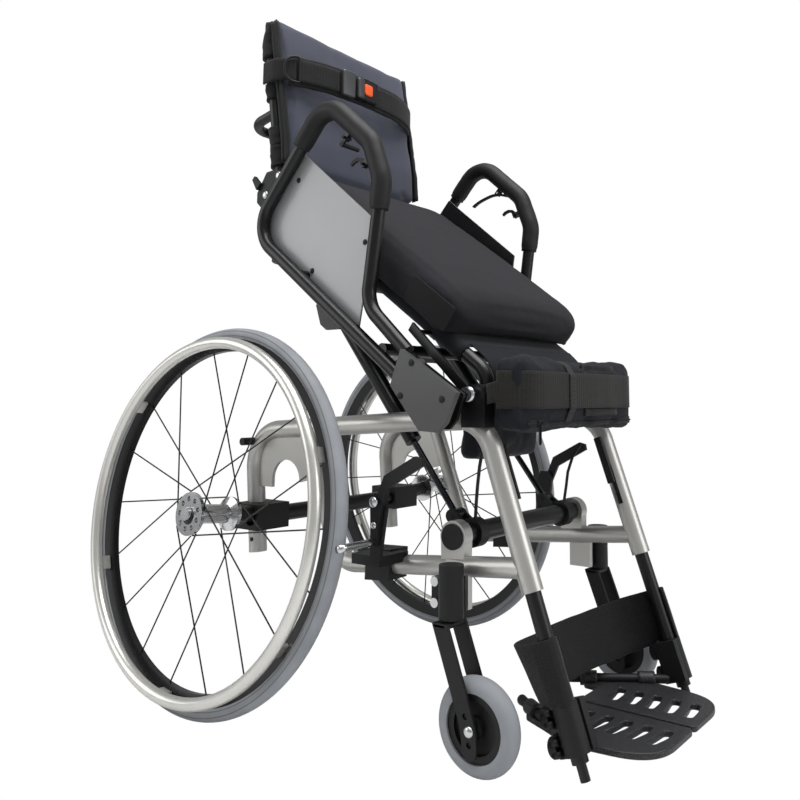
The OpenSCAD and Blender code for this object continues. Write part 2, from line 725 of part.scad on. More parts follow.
front_tie = [150, 16];
rear_tie = [372, 12];
tie_d = 18;
spring_lug = [[86, 640], [160, 640], [156, 606], [142, 596], [112, 596], [98, 606]];
lug_x = 141;
lug_t = 6;
module arm_cross_tubes() color("dimgray") difference() {
  union() {
    for (q = [front_tie, rear_tie])
      pin(-arm_x, arm_x, on_arm(q), tie_d);
    both() {
      slab(lug_x, lug_x + lug_t, spring_lug);
      slab(lug_x, lug_x + lug_t, [spring_lug[0] - [0, lap], spring_lug[1] - [0, lap],
        on_arm(rear_tie) + [tie_d / 2, 0], on_arm(rear_tie) - [tie_d / 2, 0]]);
    }
  }
  both() bent_tube([for (q = arm_pts) at(arm_x, q)], arm_bend, arm_tube + swell);
}

foam_from = [112, 896];
foam_to = [290.2, 765];
module arm_pads() color("black") both() difference() {
  bent_tube([for (q = [foam_from, arm_pts[2], arm_pts[3], arm_pts[4], foam_to]) at(arm_x, q)], arm_bend,
    foam_d);
  bent_tube([for (q = arm_pts) at(arm_x, q)], arm_bend, arm_tube + seat_gap);
  for (i = [0, 1])
    slab(arm_x - lever_lug / 2 - seat_gap, arm_x + lever_lug / 2 + seat_gap,
      bar(lever_tips[i], lever_feet[i], lever_lug + 2 * seat_gap));
}

panel_x = 200;
panel_t = 4;
panel = [[104, 891], [266, 758], [247, 628], [239, 586], [43, 733], [27, 748], [18, 770], [22, 792],
  [33, 812]];
module side_panels() color("gray") both() difference() {
  slab(panel_x - panel_t, panel_x - seat_gap, panel);
  pin(panel_x - 2 * panel_t, panel_x + panel_t, horn_at, horn_d + 2 * seat_gap);
  pin(panel_x - 2 * panel_t, panel_x + panel_t, on_arm(rear_tie), tie_d + 2 * seat_gap);
}

cover_out = 234;
cover_in = 224;
cover_posts = [[378, 530], [433, 479]];
cover = [[357, 550], [338, 499], [392, 436], [424, 434], [438, 447], [457, 488]];
module pivot_covers() color("black") both() {
  slab(cover_in, cover_out, cover);
  for (q = cover_posts)
    pin(plate_out + seat_gap, cover_in + lap, q, bolt_head);
}

lever_lug = 9;
lever_roots = [[218, 892], [260, 841.5]];
lever_feet = [[234, 910], [283, 850]];
lever_tips = [for (i = [0, 1]) lever_roots[i] - unit(lever_feet[i] - lever_roots[i]) * lever_lug / 2];
function bar(a, b, w) = let (d = unit(b - a), n = [-d[1], d[0]] * w / 2) [a + n, b + n, b - n, a - n];
lever_pin = 5;
lever_t = 4;
lever_eye = 12;
lever_room = 1.5;
crank = [208, 884];
thumb_l = 34;
thumb_d = 8;
long_lever_pts = bar(lever_roots[0], crank, lever_eye / 2);
short_lever_pts = [[256, 839], [262, 846], [253, 853.5], [243, 855], [234, 852], [229, 847], [231.5, 843.5],
  [238, 847.5], [245, 849.5], [251, 847.5]];
module lever(root, pts) {
  slab(arm_x - lever_t / 2, arm_x + lever_t / 2, pts);
  pin(arm_x - lever_t / 2, arm_x + lever_t / 2, root, lever_eye - lap);
  pin(arm_x - lever_lug, arm_x + lever_lug, root, lever_pin);
}
module long_lever() {
  lever(lever_roots[0], long_lever_pts);
  pin(arm_x - lever_t / 2 - thumb_l, arm_x + lever_t / 2, crank, thumb_d);
}
module left_long_lever() color("black") long_lever();
module right_long_lever() color("black") mirrored() long_lever();
module left_short_lever() color("black") lever(lever_roots[1], short_lever_pts);
module right_short_lever() color("black") mirrored() lever(lever_roots[1], short_lever_pts);

// Back
tail_in = 176;
back_hinge = [6, 868];
bracket = [[60, 742], [30, 742], [-10, 806], [-36, 830], [-36, 848], [-12, 882], [16, 884], [26, 874],
  [34, 812], [60, 802], [88, 800], [92, 782]];
latch = [[-22, 862], [-32, 852], [-44, 872], [-38, 878]];
module back_brackets() color("black") both() {
  difference() {
    slab(tail_in, tail_end, bracket);
    pin(seat_x, arm_x, on_seat(span), tail_pin + 2 * seat_gap);
    pin(seat_x, arm_x, on_arm(span), tail_pin + 2 * run_gap);
  }
  pin(cane_x - cane_d / 2, tail_end, back_hinge, tail_pin);
  slab(tail_end, tail_end + lug_t, latch);
}

cane_x = 163;
cane_d = 22;
cane_top = [-36, 1136];
cane_foot = [6, 868];
push_from = [-19, 998];
push_back = [-86, 985];
push_bend = 36;
push_d = 18;
cane_eye = 26;
cane_eye_w = 24;
module back_frame() color("dimgray") difference() {
  union() {
    both() {
      rod(at(cane_x, cane_foot), at(cane_x, cane_top), cane_d);
      pin(cane_x - cane_eye_w / 2, cane_x + cane_eye_w / 2, back_hinge, cane_eye);
    }
    bent_tube([at(-cane_x, push_from), at(-cane_x, push_back), at(cane_x, push_back), at(cane_x,
      push_from)],
      push_bend, push_d);
  }
  both() pin(cane_x - cane_d, tail_in, back_hinge, tail_pin + 2 * run_gap);
}

// Upholstery: rows from the bottom up as [front ahead, rear ahead, height]
back_rows = [[13, -16, 716], [17, -20, 722], [20, -22, 740], [19, -20, 800], [20, -14, 852], [28, 4, 868],
  [34, 14.5, 884], [38, 10.2, 892], [34, 0.4, 950], [23, -8.5, 1009], [12, -17.9, 1070], [2, -27.2,
    1130], [-4, -30, 1164],
  [-9, -23, 1176], [-15, -19, 1180]];
back_cols = 13;
back_low_w = 292;
function back_half(i) = back_rows[i][2] < back_rows[7][2] ? back_low_w / 2 : back_w / 2;
edge_e = 0.25;
module back_upholstery() color("midnightblue") {
  rows = len(back_rows);
  loop = 2 * back_cols;
  pts = [for (i = [0:rows - 1], j = [0:loop - 1])
    let (s = j < back_cols ? 2 * j / (back_cols - 1) - 1 : 1 - 2 * (j - back_cols) / (back_cols - 1),
      f = back_rows[i][0], r = back_rows[i][1], m = (f + r) / 2,
      full = pow(max(1 - pow(abs(s), 4), 0.04), edge_e),
      q = j < back_cols ? m + (f - m) * full : m + (r - m) * full)
    at(s * back_half(i), [q, back_rows[i][2]])];
  sides = [for (i = [0:rows - 2], j = [0:loop - 1])
    let (a = i * loop + j, b = i * loop + (j + 1) % loop)
    each [[a, a + loop, b], [b, a + loop, b + loop]]];
  polyhedron(pts, concat(sides, [[for (j = [0:loop - 1]) j],
    [for (j = [loop - 1:-1:0]) (rows - 1) * loop + j]]));
}

belt_low = 1052;
belt_h = 56;
belt_t = 6;
belt_half = [[166, -46], [180, -40], [187, -24], [185, 4], [171, 23], [137, 39], [90, 52], [40, 57],
  [0, 58]];
belt_plan = concat([for (q = belt_half) [-q[0], axle_y - q[1]]],
  [for (i = [len(belt_half) - 2:-1:0]) [belt_half[i][0], axle_y - belt_half[i][1]]]);
module chest_belt() color("black") translate([0, 0, belt_low]) strap(belt_plan, belt_t, belt_h);

buckle_lo = [-42, 61.3, 1058];
buckle_size = [64, 16, 44];
button_lo = [-18, 0, 1068];
button_size = [26, 6, 24];
button_gap = 4;
module belt_buckle() color("black") difference() {
  translate([buckle_lo[0], axle_y - buckle_lo[1] - buckle_size[1], buckle_lo[2]]) cube(buckle_size);
  translate([button_lo[0], axle_y - buckle_lo[1] - buckle_size[1], button_lo[2]]
    - [1, 1, 1] * seat_gap)
    cube(button_size + [2, 1, 2] * seat_gap + [0, button_gap, 0]);
}
module buckle_button() color("orangered")
  translate([button_lo[0], axle_y - buckle_lo[1] - buckle_size[1], button_lo[2]]) cube(button_size);

// Footrest
post_low = -206;
post_high = 138;
tip_d = 13;
tip_low = -227;
link_bar_w = 12;
link_bar_t = 5;
link_bar_l = 78;
link_bolt = 132;
link_in = 146;
module foot_posts() color("dimgray") both() on_leg() {
  translate([frame_x, 0, post_low]) cylinder(h = post_high - post_low, d = post_d);
  translate([frame_x, 0, tip_low]) cylinder(h = post_low - tip_low + lap, d = tip_d);
  translate([link_in, 0, link_bolt]) rotate([0, 90, 0]) cylinder(h = frame_x - link_in, d = slot_w - lap);
  translate([link_in - link_bar_t, -link_bar_w / 2, link_bolt - link_bar_w])
    cube([link_bar_t, link_bar_w, link_bar_l]);
}

v_out = [148, 585, 45];
v_in = [60, 447, 45];
v_d = 14;
knob_d = 26;
knob_t = 12;
bracket_x = [144, 156];
foot_clamp_lo = -196;
foot_clamp_h = 60;
foot_clamp_d = 34;
knob_ups = [-150, -185];
knob_out = 16;
v_out_pt = [v_out[0], axle_y - v_out[1], v_out[2]];
v_in_pt = [v_in[0], axle_y - v_in[1], v_in[2]];
v_dir = unit(v_in_pt - v_out_pt);
module footrest_bars() color("black") both() {
  rod(v_out_pt, v_in_pt, v_d);
  translate(v_in_pt) sphere(d = v_d + lap);
  difference() {
    union() {
      on_leg() translate([frame_x, 0, foot_clamp_lo]) cylinder(h = foot_clamp_h, d = foot_clamp_d);
      on_leg() translate([bracket_x[0], -foot_clamp_d / 2, foot_clamp_lo])
        cube([bracket_x[1] - bracket_x[0], foot_clamp_d, foot_clamp_h]);
      on_leg() for (h = knob_ups) translate([frame_x, 0, h]) rotate([-90, 0, 0]) {
        cylinder(h = foot_clamp_d / 2 + knob_out, d = bolt_d);
        translate([0, 0, foot_clamp_d / 2 + over]) cylinder(h = knob_t, d = knob_d);
      }
    }
    on_leg() translate([frame_x, 0, post_low]) cylinder(h = post_high, d = post_d);
  }
}

// Footplates, drawn on the left, with knuckles round the angled bar
plate_gap = 3;
plate_outer = 120;
slot_count = 5;
plate_slot_w = 12;
plate_slot_l = 42;
plate_slot_from = 38;
plate_slot_step = 29;
plate_slot_first = 552;
knuckle_d = 22;
knuckles = [[22, 26], [112, 26]];
plate_corner = 16;
plate_pts = [[plate_gap, 505], [plate_gap, plate_ahead], [plate_outer - plate_corner, plate_ahead],
  [plate_outer, plate_ahead - plate_corner], [plate_outer + plate_corner, 556], [112, 520], [90, 470],
    [68, 478],
  [66, 505]];
module footplate() difference() {
  union() {
    translate([0, 0, plate_top - plate_t]) linear_extrude(plate_t) difference() {
      polygon([for (q = plate_pts) [q[0], axle_y - q[1]]]);
      for (i = [0:slot_count - 1])
        translate([plate_slot_from, axle_y - plate_slot_first - i * plate_slot_step])
          square([plate_slot_l, plate_slot_w]);
    }
    for (k = knuckles)
      rod(v_out_pt + v_dir * k[0], v_out_pt + v_dir * (k[0] + k[1]), knuckle_d);
  }
  rod(v_out_pt - v_dir * over, v_in_pt + v_dir * over, v_d + 2 * run_gap);
}
module left_footplate() color("dimgray") footplate();
module right_footplate() color("dimgray") mirrored() footplate();

calf_t = 4;
calf_h = 82;
calf_low = -134;
calf_half = [[166, -14.4], [176, -12.6], [181.6, -6], [182, 2], [179.6, 14], [164, 40], [140, 62],
  [100, 76], [50, 84], [0, 86]];
calf_plan = concat([for (q = calf_half) [-q[0], q[1]]],
  [for (i = [len(calf_half) - 2:-1:0]) [calf_half[i][0], calf_half[i][1]]]);
module calf_strap() color("black") on_leg() translate([0, 0, calf_low])
  strap(calf_plan, calf_t, calf_h);

right_side_frame();
left_side_frame();
cross_tube();
end_caps();
axle_bar();
axle_clamps();
caster_housings();
spring_clamps();
brake_brackets();
knee_brackets();
frame_bolts();
knee_pad();
release_cables();
right_brake_lever();
left_brake_lever();
right_tyre();
right_rim();
right_spokes();
right_hub();
right_handrim();
left_tyre();
left_rim();
left_spokes();
left_hub();
left_handrim();
right_caster_fork();
right_caster_tyre();
right_caster_hub();
left_caster_fork();
left_caster_tyre();
left_caster_hub();
seat_frame();
seat_sling();
seat_cushion();
right_arm_frame();
left_arm_frame();
arm_cross_tubes();
arm_pads();
side_panels();
pivot_covers();
right_long_lever();
right_short_lever();
left_long_lever();
left_short_lever();
back_brackets();
back_frame();
back_upholstery();
chest_belt();
belt_buckle();
buckle_button();
right_spring_rod();
right_spring_cylinder();
left_spring_rod();
left_spring_cylinder();
foot_posts();
footrest_bars();
right_footplate();
left_footplate();
calf_strap();
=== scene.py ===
# %% [markdown]
# # A standing wheelchair, dressed round its CAD frame
#
# The chair stands half risen. Most hard parts come from the CAD frame and only get a finish here. Everything
# sewn or padded is modelled here, because CAD solids look stiff where cloth should give, and so are the caster
# forks, the footplates and the buckle, whose edges are soft.
# All lengths are metres in the frame shared with the CAD: +Z up, -Y the way the occupant faces.

# %% Load the frame
import math

import bmesh
import bpy
import numpy as np
from mathutils import Matrix, Vector, noise


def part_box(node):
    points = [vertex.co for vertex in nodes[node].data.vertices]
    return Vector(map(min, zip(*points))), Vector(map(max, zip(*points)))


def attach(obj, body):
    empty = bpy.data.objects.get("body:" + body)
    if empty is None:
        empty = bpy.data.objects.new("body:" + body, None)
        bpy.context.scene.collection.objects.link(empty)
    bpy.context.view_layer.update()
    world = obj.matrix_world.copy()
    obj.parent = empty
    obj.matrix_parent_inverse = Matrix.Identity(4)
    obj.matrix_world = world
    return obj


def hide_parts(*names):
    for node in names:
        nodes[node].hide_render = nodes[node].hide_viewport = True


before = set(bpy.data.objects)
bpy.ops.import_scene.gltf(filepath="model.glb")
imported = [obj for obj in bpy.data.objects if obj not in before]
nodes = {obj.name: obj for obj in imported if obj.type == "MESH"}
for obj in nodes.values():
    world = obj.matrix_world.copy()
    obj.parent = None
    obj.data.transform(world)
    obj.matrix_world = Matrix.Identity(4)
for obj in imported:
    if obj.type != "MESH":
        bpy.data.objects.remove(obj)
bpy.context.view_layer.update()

# %% [markdown]
# ## Where things are
#
# Side views of the chair were measured as millimetres ahead of the rear axle and above the floor.
# The seat leans back from its hinge at the knee, so points on it are given along the seat and above it.

# %% Points on the chair
MM = 0.001
AXLE_Y, AXLE_Z = 193.0, 300.0
LIFT = math.radians(36)
SEAT_HINGE = (448.0, 486.0)
LEG_FOOT = (534.0, 228.0)
SIDES = (("right", -1), ("left", 1))
ACROSS, AHEAD, UP = Vector((1, 0, 0)), Vector((0, -1, 0)), Vector((0, 0, 1))
LEG_LEAN = math.atan2(LEG_FOOT[0] - 455.0, 454.0 - LEG_FOOT[1])


def at(x, ahead, z):
    """A point from millimetres: sideways, ahead of the rear axle, above the floor."""
    return Vector((x, AXLE_Y - ahead, z)) * MM


def on_seat(x, back, up):
    """A point on the leaning seat, back from its hinge and up from its tubes."""
    c, s = math.cos(LIFT), math.sin(LIFT)
    return at(x, SEAT_HINGE[0] - back * c + up * s, SEAT_HINGE[1] + back * s + up * c)


# %% [markdown]
# ## Shader sums
#
# A finish is a small sum of noise and waves. Wrapping a shader socket in a class lets the sum be written
# as it would be on paper, and one method adds any other node.

# %% Shader helpers
UV, PLACE = 2, 3  # outputs of the texture coordinate node


class Value:
    """A shader socket that adds, multiplies and compares like a number."""

    def __init__(self, tree, socket):
        self.tree = tree
        self.socket = socket

    def math(self, operation, *values):
        node = self.tree.nodes.new("ShaderNodeMath")
        node.operation = operation
        for slot, value in zip(node.inputs, values):
            feed(self.tree, slot, value)
        return Value(self.tree, node.outputs[0])

    def __add__(self, other): return self.math("ADD", self, other)
    def __radd__(self, other): return self.math("ADD", other, self)
    def __sub__(self, other): return self.math("SUBTRACT", self, other)
    def __rsub__(self, other): return self.math("SUBTRACT", other, self)
    def __mul__(self, other): return self.math("MULTIPLY", self, other)
    def __rmul__(self, other): return self.math("MULTIPLY", other, self)
    def sin(self): return self.math("SINE", self)
    def abs(self): return self.math("ABSOLUTE", self)
    def power(self, e): return self.math("POWER", self, e)
    def above(self, limit): return self.math("GREATER_THAN", self, limit)


def label(key):
    """The socket name a keyword stands for."""
    return key.replace("_", " ").title().replace("Ior", "IOR")


def feed(tree, slot, value):
    if isinstance(value, Value):
        tree.links.new(value.socket, slot)
    else:
        slot.default_value = value


class Finish:
    """One material under construction; its principled shader takes the constants."""

    def __init__(self, name, **constants):
        self.material = bpy.data.materials.new(name)
        self.material.use_nodes = True
        self.tree = self.material.node_tree
        self.shader = next(n for n in self.tree.nodes if n.type == "BSDF_PRINCIPLED")
        self.set(**constants)

    def node(self, kind, out=0, **inputs):
        node = self.tree.nodes.new("ShaderNode" + kind)
        for key, value in inputs.items():
            feed(self.tree, node.inputs[label(key)], value)
        return Value(self.tree, node.outputs[out])

    def split(self, coordinate):
        """The three parts of one output of the texture coordinate node."""
        xyz = self.tree.nodes.new("ShaderNodeSeparateXYZ")
        feed(self.tree, xyz.inputs[0], self.node("TexCoord", out=coordinate))
        return [Value(self.tree, o) for o in xyz.outputs]

    def noise(self, scale, detail=3.0):
        return self.node("TexNoise", Vector=self.node("TexCoord", out=PLACE), scale=scale, detail=detail)

    def mix(self, amount, a, b):
        node = self.tree.nodes.new("ShaderNodeMix")
        node.data_type = "RGBA"
        for slot, value in zip((0, 6, 7), (amount, a, b)):
            feed(self.tree, node.inputs[slot], value)
        return Value(self.tree, node.outputs[2])

    def set(self, **inputs):
        for key, value in inputs.items():
            feed(self.tree, self.shader.inputs[label(key)], value)

    def bump(self, height, distance, strength=1.0):
        self.set(Normal=self.node("Bump", height=height, distance=distance, strength=strength))
        return self.material


def rgb(r, g, b):
    """A linear colour from 0-255 screen values."""
    return tuple((c / 255 / 12.92 if c < 10.3 else ((c / 255 + 0.055) / 1.055) ** 2.4) for c in (r, g, b)) + (1.0,)


# %% [markdown]
# ## Finishes
#
# The frame is satin silver lacquer, the lifting tubes are black powder coat with a slight orange peel,
# the footplates are dark castings with painted glints, and the moulded parts have a fine grain.

# %% Hard finishes
def metal(name, low, high, rough, grain, metallic=1.0, depth=0.00002):
    f = Finish(name, metallic=metallic)
    cloud = f.noise(14.0)
    fine = f.noise(grain, detail=2.0)
    f.set(Base_Color=f.mix(cloud, low, high), roughness=rough - 0.05 + 0.1 * fine)
    return f.bump(fine, depth, 0.3)


def coat(name, low, high, rough, peel, depth, gloss=0.0, shaded_inner=None):
    f = Finish(name, specular_ior_level=0.28)
    cloud = f.noise(9.0)
    skin = f.noise(peel, detail=4.0)
    colour = f.mix(cloud, low, high)
    # Faces nearer the middle than the given limit take the given dark colour: painted shade on faces turned inward,
    # away from the light.
    if shaded_inner:
        colour = f.mix(f.split(PLACE)[0].abs().above(shaded_inner[0]), shaded_inner[1], colour)
    f.set(Base_Color=colour, roughness=rough - 0.06 + 0.12 * f.noise(60.0), coat_weight=gloss, coat_roughness=0.2)
    return f.bump(skin, depth, 0.5)


def glinting_grit(name, low, high, glint_colour, rough):
    """Cast and painted metal with small pale dots: painted glints of light on its grit."""
    f = Finish(name, specular_ior_level=0.35)
    base = f.mix(f.noise(60.0), low, high)
    # Pale dots where a fine noise peaks: painted glints.
    glints = f.noise(1100.0, detail=1.0).above(0.62)
    f.set(Base_Color=f.mix(glints, base, glint_colour), roughness=rough + 0.1 * f.noise(40.0))
    return f.bump(f.noise(900.0), 0.00012)


silver = metal("silver_lacquer", rgb(172, 171, 167), rgb(192, 191, 187), 0.36, 900.0, metallic=0.75)
steel = metal("zinc_steel", rgb(176, 178, 180), rgb(208, 209, 210), 0.26, 1400.0)
hub_metal = metal("turned_aluminium", rgb(190, 190, 191), rgb(216, 216, 217), 0.17, 2400.0, metallic=0.95,
                  depth=0.000004)
rim_push = metal("hand_rim_anodised", rgb(198, 197, 192), rgb(218, 217, 212), 0.31, 500.0, metallic=0.76,
                 depth=0.0000008)
dark_rod = metal("blacked_rod", rgb(46, 47, 49), rgb(62, 63, 66), 0.2, 2000.0, metallic=0.8)
black_paint = coat("black_powder_coat", rgb(13, 13, 14), rgb(20, 20, 21), 0.34, 700.0, 0.00008, gloss=0.12)
black_plastic = coat("black_moulding", rgb(16, 16, 17), rgb(24, 24, 25), 0.50, 1800.0, 0.00006)
# Black plastic lifted to a grey base colour: painted reflection on the pivot covers.
cover_painted_reflection = coat("pivot_cover_painted_reflection", rgb(66, 66, 67), rgb(76, 76, 77), 0.38, 1500.0, 0.00008, gloss=0.2)
rim_black = coat("rim_black", rgb(14, 14, 15), rgb(21, 21, 22), 0.34, 900.0, 0.00003, gloss=0.1)
# The side panels' inward faces get a dark colour: painted shade.
panel_grey = coat("panel_grey", rgb(152, 153, 154), rgb(166, 167, 168), 0.34, 2200.0, 0.00003, gloss=0.5,
                  shaded_inner=(0.1975, rgb(26, 26, 27)))
gunmetal = metal("gunmetal", rgb(62, 63, 65), rgb(86, 87, 89), 0.36, 1600.0, metallic=0.5)
speckled = glinting_grit("casting_painted_glints", rgb(19, 19, 20), rgb(27, 27, 29), rgb(96, 96, 99), 0.42)
orange = coat("orange_button", rgb(224, 84, 38), rgb(238, 100, 50), 0.42, 1500.0, 0.00003)
print("hard finishes:", len(bpy.data.materials))


# %% Rubber finishes
GROOVE = 0.0016
# Radii of the painted shade lines where the tyre side has a groove.
TYRE_GROOVE_SHADE_RADII = (0.2835, 0.2915)


def rubber(name, low, high, rough, depth, groove_shade_radii=()):
    """Moulded rubber; thin darker rings round the rear axle, given by radius, are painted shade where the tyre has a
    groove.
    """
    f = Finish(name, specular_ior_level=0.22)
    dust = f.noise(30.0, detail=6.0)
    skin = f.noise(1500.0, detail=3.0)
    colour = f.mix(dust, low, high)
    for radius in groove_shade_radii:
        _, y, z = f.split(PLACE)
        y, z = y - AXLE_Y * MM, z - AXLE_Z * MM
        off = ((y * y + z * z).power(0.5) - radius).abs()
        line = 1.0 - off.above(GROOVE / 2)
        # Darken each ring half way to dark grey: painted shade in the groove.
        colour = f.mix(line * 0.5, colour, rgb(52, 52, 53))
    f.set(Base_Color=colour, roughness=rough - 0.08 + 0.16 * dust)
    return f.bump(skin, depth, 0.5)


grey_rubber = rubber("grey_tyre_rubber", rgb(134, 137, 141), rgb(158, 161, 165), 0.62, 0.00006,
                     groove_shade_radii=TYRE_GROOVE_SHADE_RADII)
caster_rubber = rubber("caster_rubber", rgb(128, 131, 135), rgb(150, 153, 157), 0.6, 0.00006)
foam_black = rubber("foam_grip", rgb(26, 26, 27), rgb(38, 38, 39), 0.52, 0.00025)
cable_black = rubber("cable_jacket", rgb(20, 20, 21), rgb(29, 29, 30), 0.4, 0.00002)
print("rubber finishes ready")


# %% [markdown]
# Woven cloth is drawn from two crossed waves in UV space, where one UV unit is one metre, so the thread size
# is real. Nylon pack cloth has a tight plain weave; webbing has coarse diagonal ribs.

# %% Cloth finishes
def woven(name, low, high, thread, depth, rough=0.75, sheen=0.15):
    f = Finish(name, specular_ior_level=0.14, sheen_weight=sheen, sheen_roughness=0.5)
    u, v, _ = f.split(UV)
    k = 2 * math.pi / thread
    weave = (u * k).sin() * (v * k).sin()
    soft = f.noise(7.0, detail=4.0)
    wear = f.noise(160.0, detail=2.0)
    shade = 0.7 * soft + 0.2 * wear + 0.1 * weave
    f.set(Base_Color=f.mix(shade, low, high), roughness=rough - 0.05 + 0.1 * wear)
    return f.bump(weave * 0.8 + wear * 0.6, depth, 0.45)


def ribbed(name, low, high, rib, depth, rough=0.7):
    f = Finish(name, specular_ior_level=0.18, sheen_weight=0.08, sheen_roughness=0.5)
    u, v, _ = f.split(UV)
    k = 2 * math.pi / rib
    twill = ((u + v * 0.5) * k).sin() * 0.6 + ((u - v * 0.5) * k).sin() * 0.6 + (v * k * 0.5).sin() * 0.4
    wear = f.noise(90.0, detail=3.0)
    f.set(Base_Color=f.mix(0.35 + 0.25 * twill + 0.35 * wear, low, high), roughness=rough - 0.06 + 0.12 * wear)
    return f.bump(twill, depth, 0.55)


navy = woven("navy_pack_cloth", rgb(58, 60, 71), rgb(78, 81, 94), 0.0011, 0.00012, sheen=0.1)
# The navy cloth again, about three times darker: painted shade for the knee pad's front and the apron.
pad_cloth_painted_shade = woven("navy_pad_cloth", rgb(20, 21, 25), rgb(31, 32, 38), 0.0011, 0.00012, sheen=0.03)
# The navy cloth again, about three times darker: painted shade for the sling and the pouch under the seat.
navy_painted_shade = woven("navy_cloth_painted_shade", rgb(20, 21, 26), rgb(30, 32, 38), 0.0011, 0.00012)
cushion_cloth = woven("cushion_stretch_knit", rgb(27, 26, 30), rgb(36, 35, 40), 0.0009, 0.00010,
                      rough=0.85, sheen=0.05)
patch_cloth = woven("cushion_patch_cloth", rgb(13, 13, 15), rgb(20, 20, 23), 0.0007, 0.00006,
                    rough=0.6, sheen=0.03)
knee_webbing = ribbed("knee_strap_webbing", rgb(22, 21, 20), rgb(38, 37, 35), 0.0030, 0.00035)
webbing = ribbed("black_webbing", rgb(14, 14, 15), rgb(27, 27, 28), 0.0030, 0.00035)
binding = ribbed("black_binding", rgb(17, 17, 19), rgb(30, 30, 32), 0.0016, 0.00020)
velcro = woven("hook_and_loop", rgb(12, 12, 13), rgb(22, 22, 24), 0.0020, 0.0005, rough=0.95, sheen=0.12)
thread = coat("sewing_thread", rgb(40, 41, 48), rgb(58, 59, 66), 0.7, 1500.0, 0.00003)
print("cloth finishes ready")

# %% [markdown]
# Each CAD node that stays in view takes the finish of its real material, with painted light on the pivot covers, the
# side panels and the tyres.
# The nodes that pieces below replace are hidden and need none.

# %% Dress the CAD nodes
def both(*names):
    return [side + "_" + name for name in names for side, _ in SIDES]


DRESS = {
    silver: both("side_frame"),
    black_paint: both("arm_frame", "spring_cylinder") + [
        "cross_tube", "axle_bar", "seat_frame", "arm_cross_tubes", "back_frame", "foot_posts", "knee_brackets"],
    black_plastic: both("brake_lever", "caster_hub", "short_lever") + [
        "right_long_lever", "end_caps", "back_brackets", "caster_housings", "axle_clamps", "spring_clamps",
        "brake_brackets", "footrest_bars"],
    cover_painted_reflection: ["pivot_covers"],
    panel_grey: ["side_panels"],
    steel: ["frame_bolts"],
    dark_rod: both("spring_rod"),
    hub_metal: both("hub"),
    rim_push: both("handrim"),
    rim_black: both("rim", "spokes"),
    grey_rubber: both("tyre"),
    caster_rubber: both("caster_tyre"),
    cable_black: ["release_cables"],
}
for material, names in DRESS.items():
    for name in names:
        mesh = nodes[name].data
        mesh.materials.clear()
        mesh.materials.append(material)
print("dressed", sum(len(v) for v in DRESS.values()), "CAD nodes")

# %% [markdown]
# ## Shaping helpers
#
# Straps, pipings and sleeves are one outline carried along a path. Cushions are stacks of rounded outlines.
# UVs are laid in metres as the faces are made, so the weave keeps its size on every piece.

# %% Small sums
def clamped(t):
    return min(max(t, 0.0), 1.0)


def ease(t):
    """A soft step from 0 to 1."""
    t = clamped(t)
    return t * t * (3 - 2 * t)


def bell(t, width):
    """A hump of height 1 round 0."""
    return math.exp(-(t / width) ** 2)


# %% Mesh helpers
def link(name, verts, faces, uvs, material, smooth=True):
    """An object from points, faces and one UV pair for each face corner."""
    mesh = bpy.data.meshes.new(name)
    mesh.from_pydata([tuple(v) for v in verts], [], faces)
    layer = mesh.uv_layers.new(name="UVMap")
    layer.data.foreach_set("uv", [c for face in uvs for pair in face for c in pair])
    mesh.materials.append(material)
    mesh.polygons.foreach_set("use_smooth", [smooth] * len(mesh.polygons))
    obj = bpy.data.objects.new(name, mesh)
    bpy.context.scene.collection.objects.link(obj)
    outward(obj)
    return obj


def outward(obj, weld=0.0):
    """Turns every face outward, after joining points closer than the weld."""
    shape = bmesh.new()
    shape.from_mesh(obj.data)
    if weld:
        bmesh.ops.remove_doubles(shape, verts=shape.verts, dist=weld)
    bmesh.ops.recalc_face_normals(shape, faces=shape.faces)
    shape.to_mesh(obj.data)
    shape.free()


def keep(obj, body, slot, *replaced):
    """Hands a finished piece to the body it rides on."""
    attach(obj, body)
    if replaced:
        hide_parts(*replaced)
    return obj


def runs(path):
    """How far along a line each of its points is."""
    out = [0.0]
    for a, b in zip(path, path[1:]):
        out.append(out[-1] + (b - a).length)
    return out


def sweep(name, path, sides, outline, material, closed=False):
    """Carries an outline along a path; sides gives the way its first axis points at each path point."""
    path = [Vector(p) for p in path]
    n, m = len(path), len(outline)
    rim = [0.0]
    for a, b in zip(outline, outline[1:] + outline[:1]):
        rim.append(rim[-1] + math.dist(a, b))
    verts, run = [], runs(path)
    for i, p in enumerate(path):
        before = path[i - 1] if i or closed else p
        after = path[(i + 1) % n] if i < n - 1 or closed else p
        along = (after - before).normalized()
        side = Vector(sides[i])
        side = (side - along * side.dot(along)).normalized()
        out = along.cross(side)
        verts += [p + side * w + out * t for w, t in outline]
    faces, uvs = [], []
    for i in range(n if closed else n - 1):
        k = (i + 1) % n
        v0, v1 = run[i], run[i] + (path[k] - path[i]).length
        for j in range(m):
            q = (j + 1) % m
            faces.append([i * m + j, i * m + q, k * m + q, k * m + j])
            uvs.append([(rim[j], v0), (rim[j + 1], v0), (rim[j + 1], v1), (rim[j], v1)])
    if not closed:
        for row in (list(range(m)), [(n - 1) * m + j for j in range(m)]):
            faces.append(row)
            uvs.append([outline[j] for j in range(m)])
    return link(name, verts, faces, uvs, material)


def disc(radius, count=12):
    return [(radius * math.cos(2 * math.pi * j / count), radius * math.sin(2 * math.pi * j / count))
            for j in range(count)]


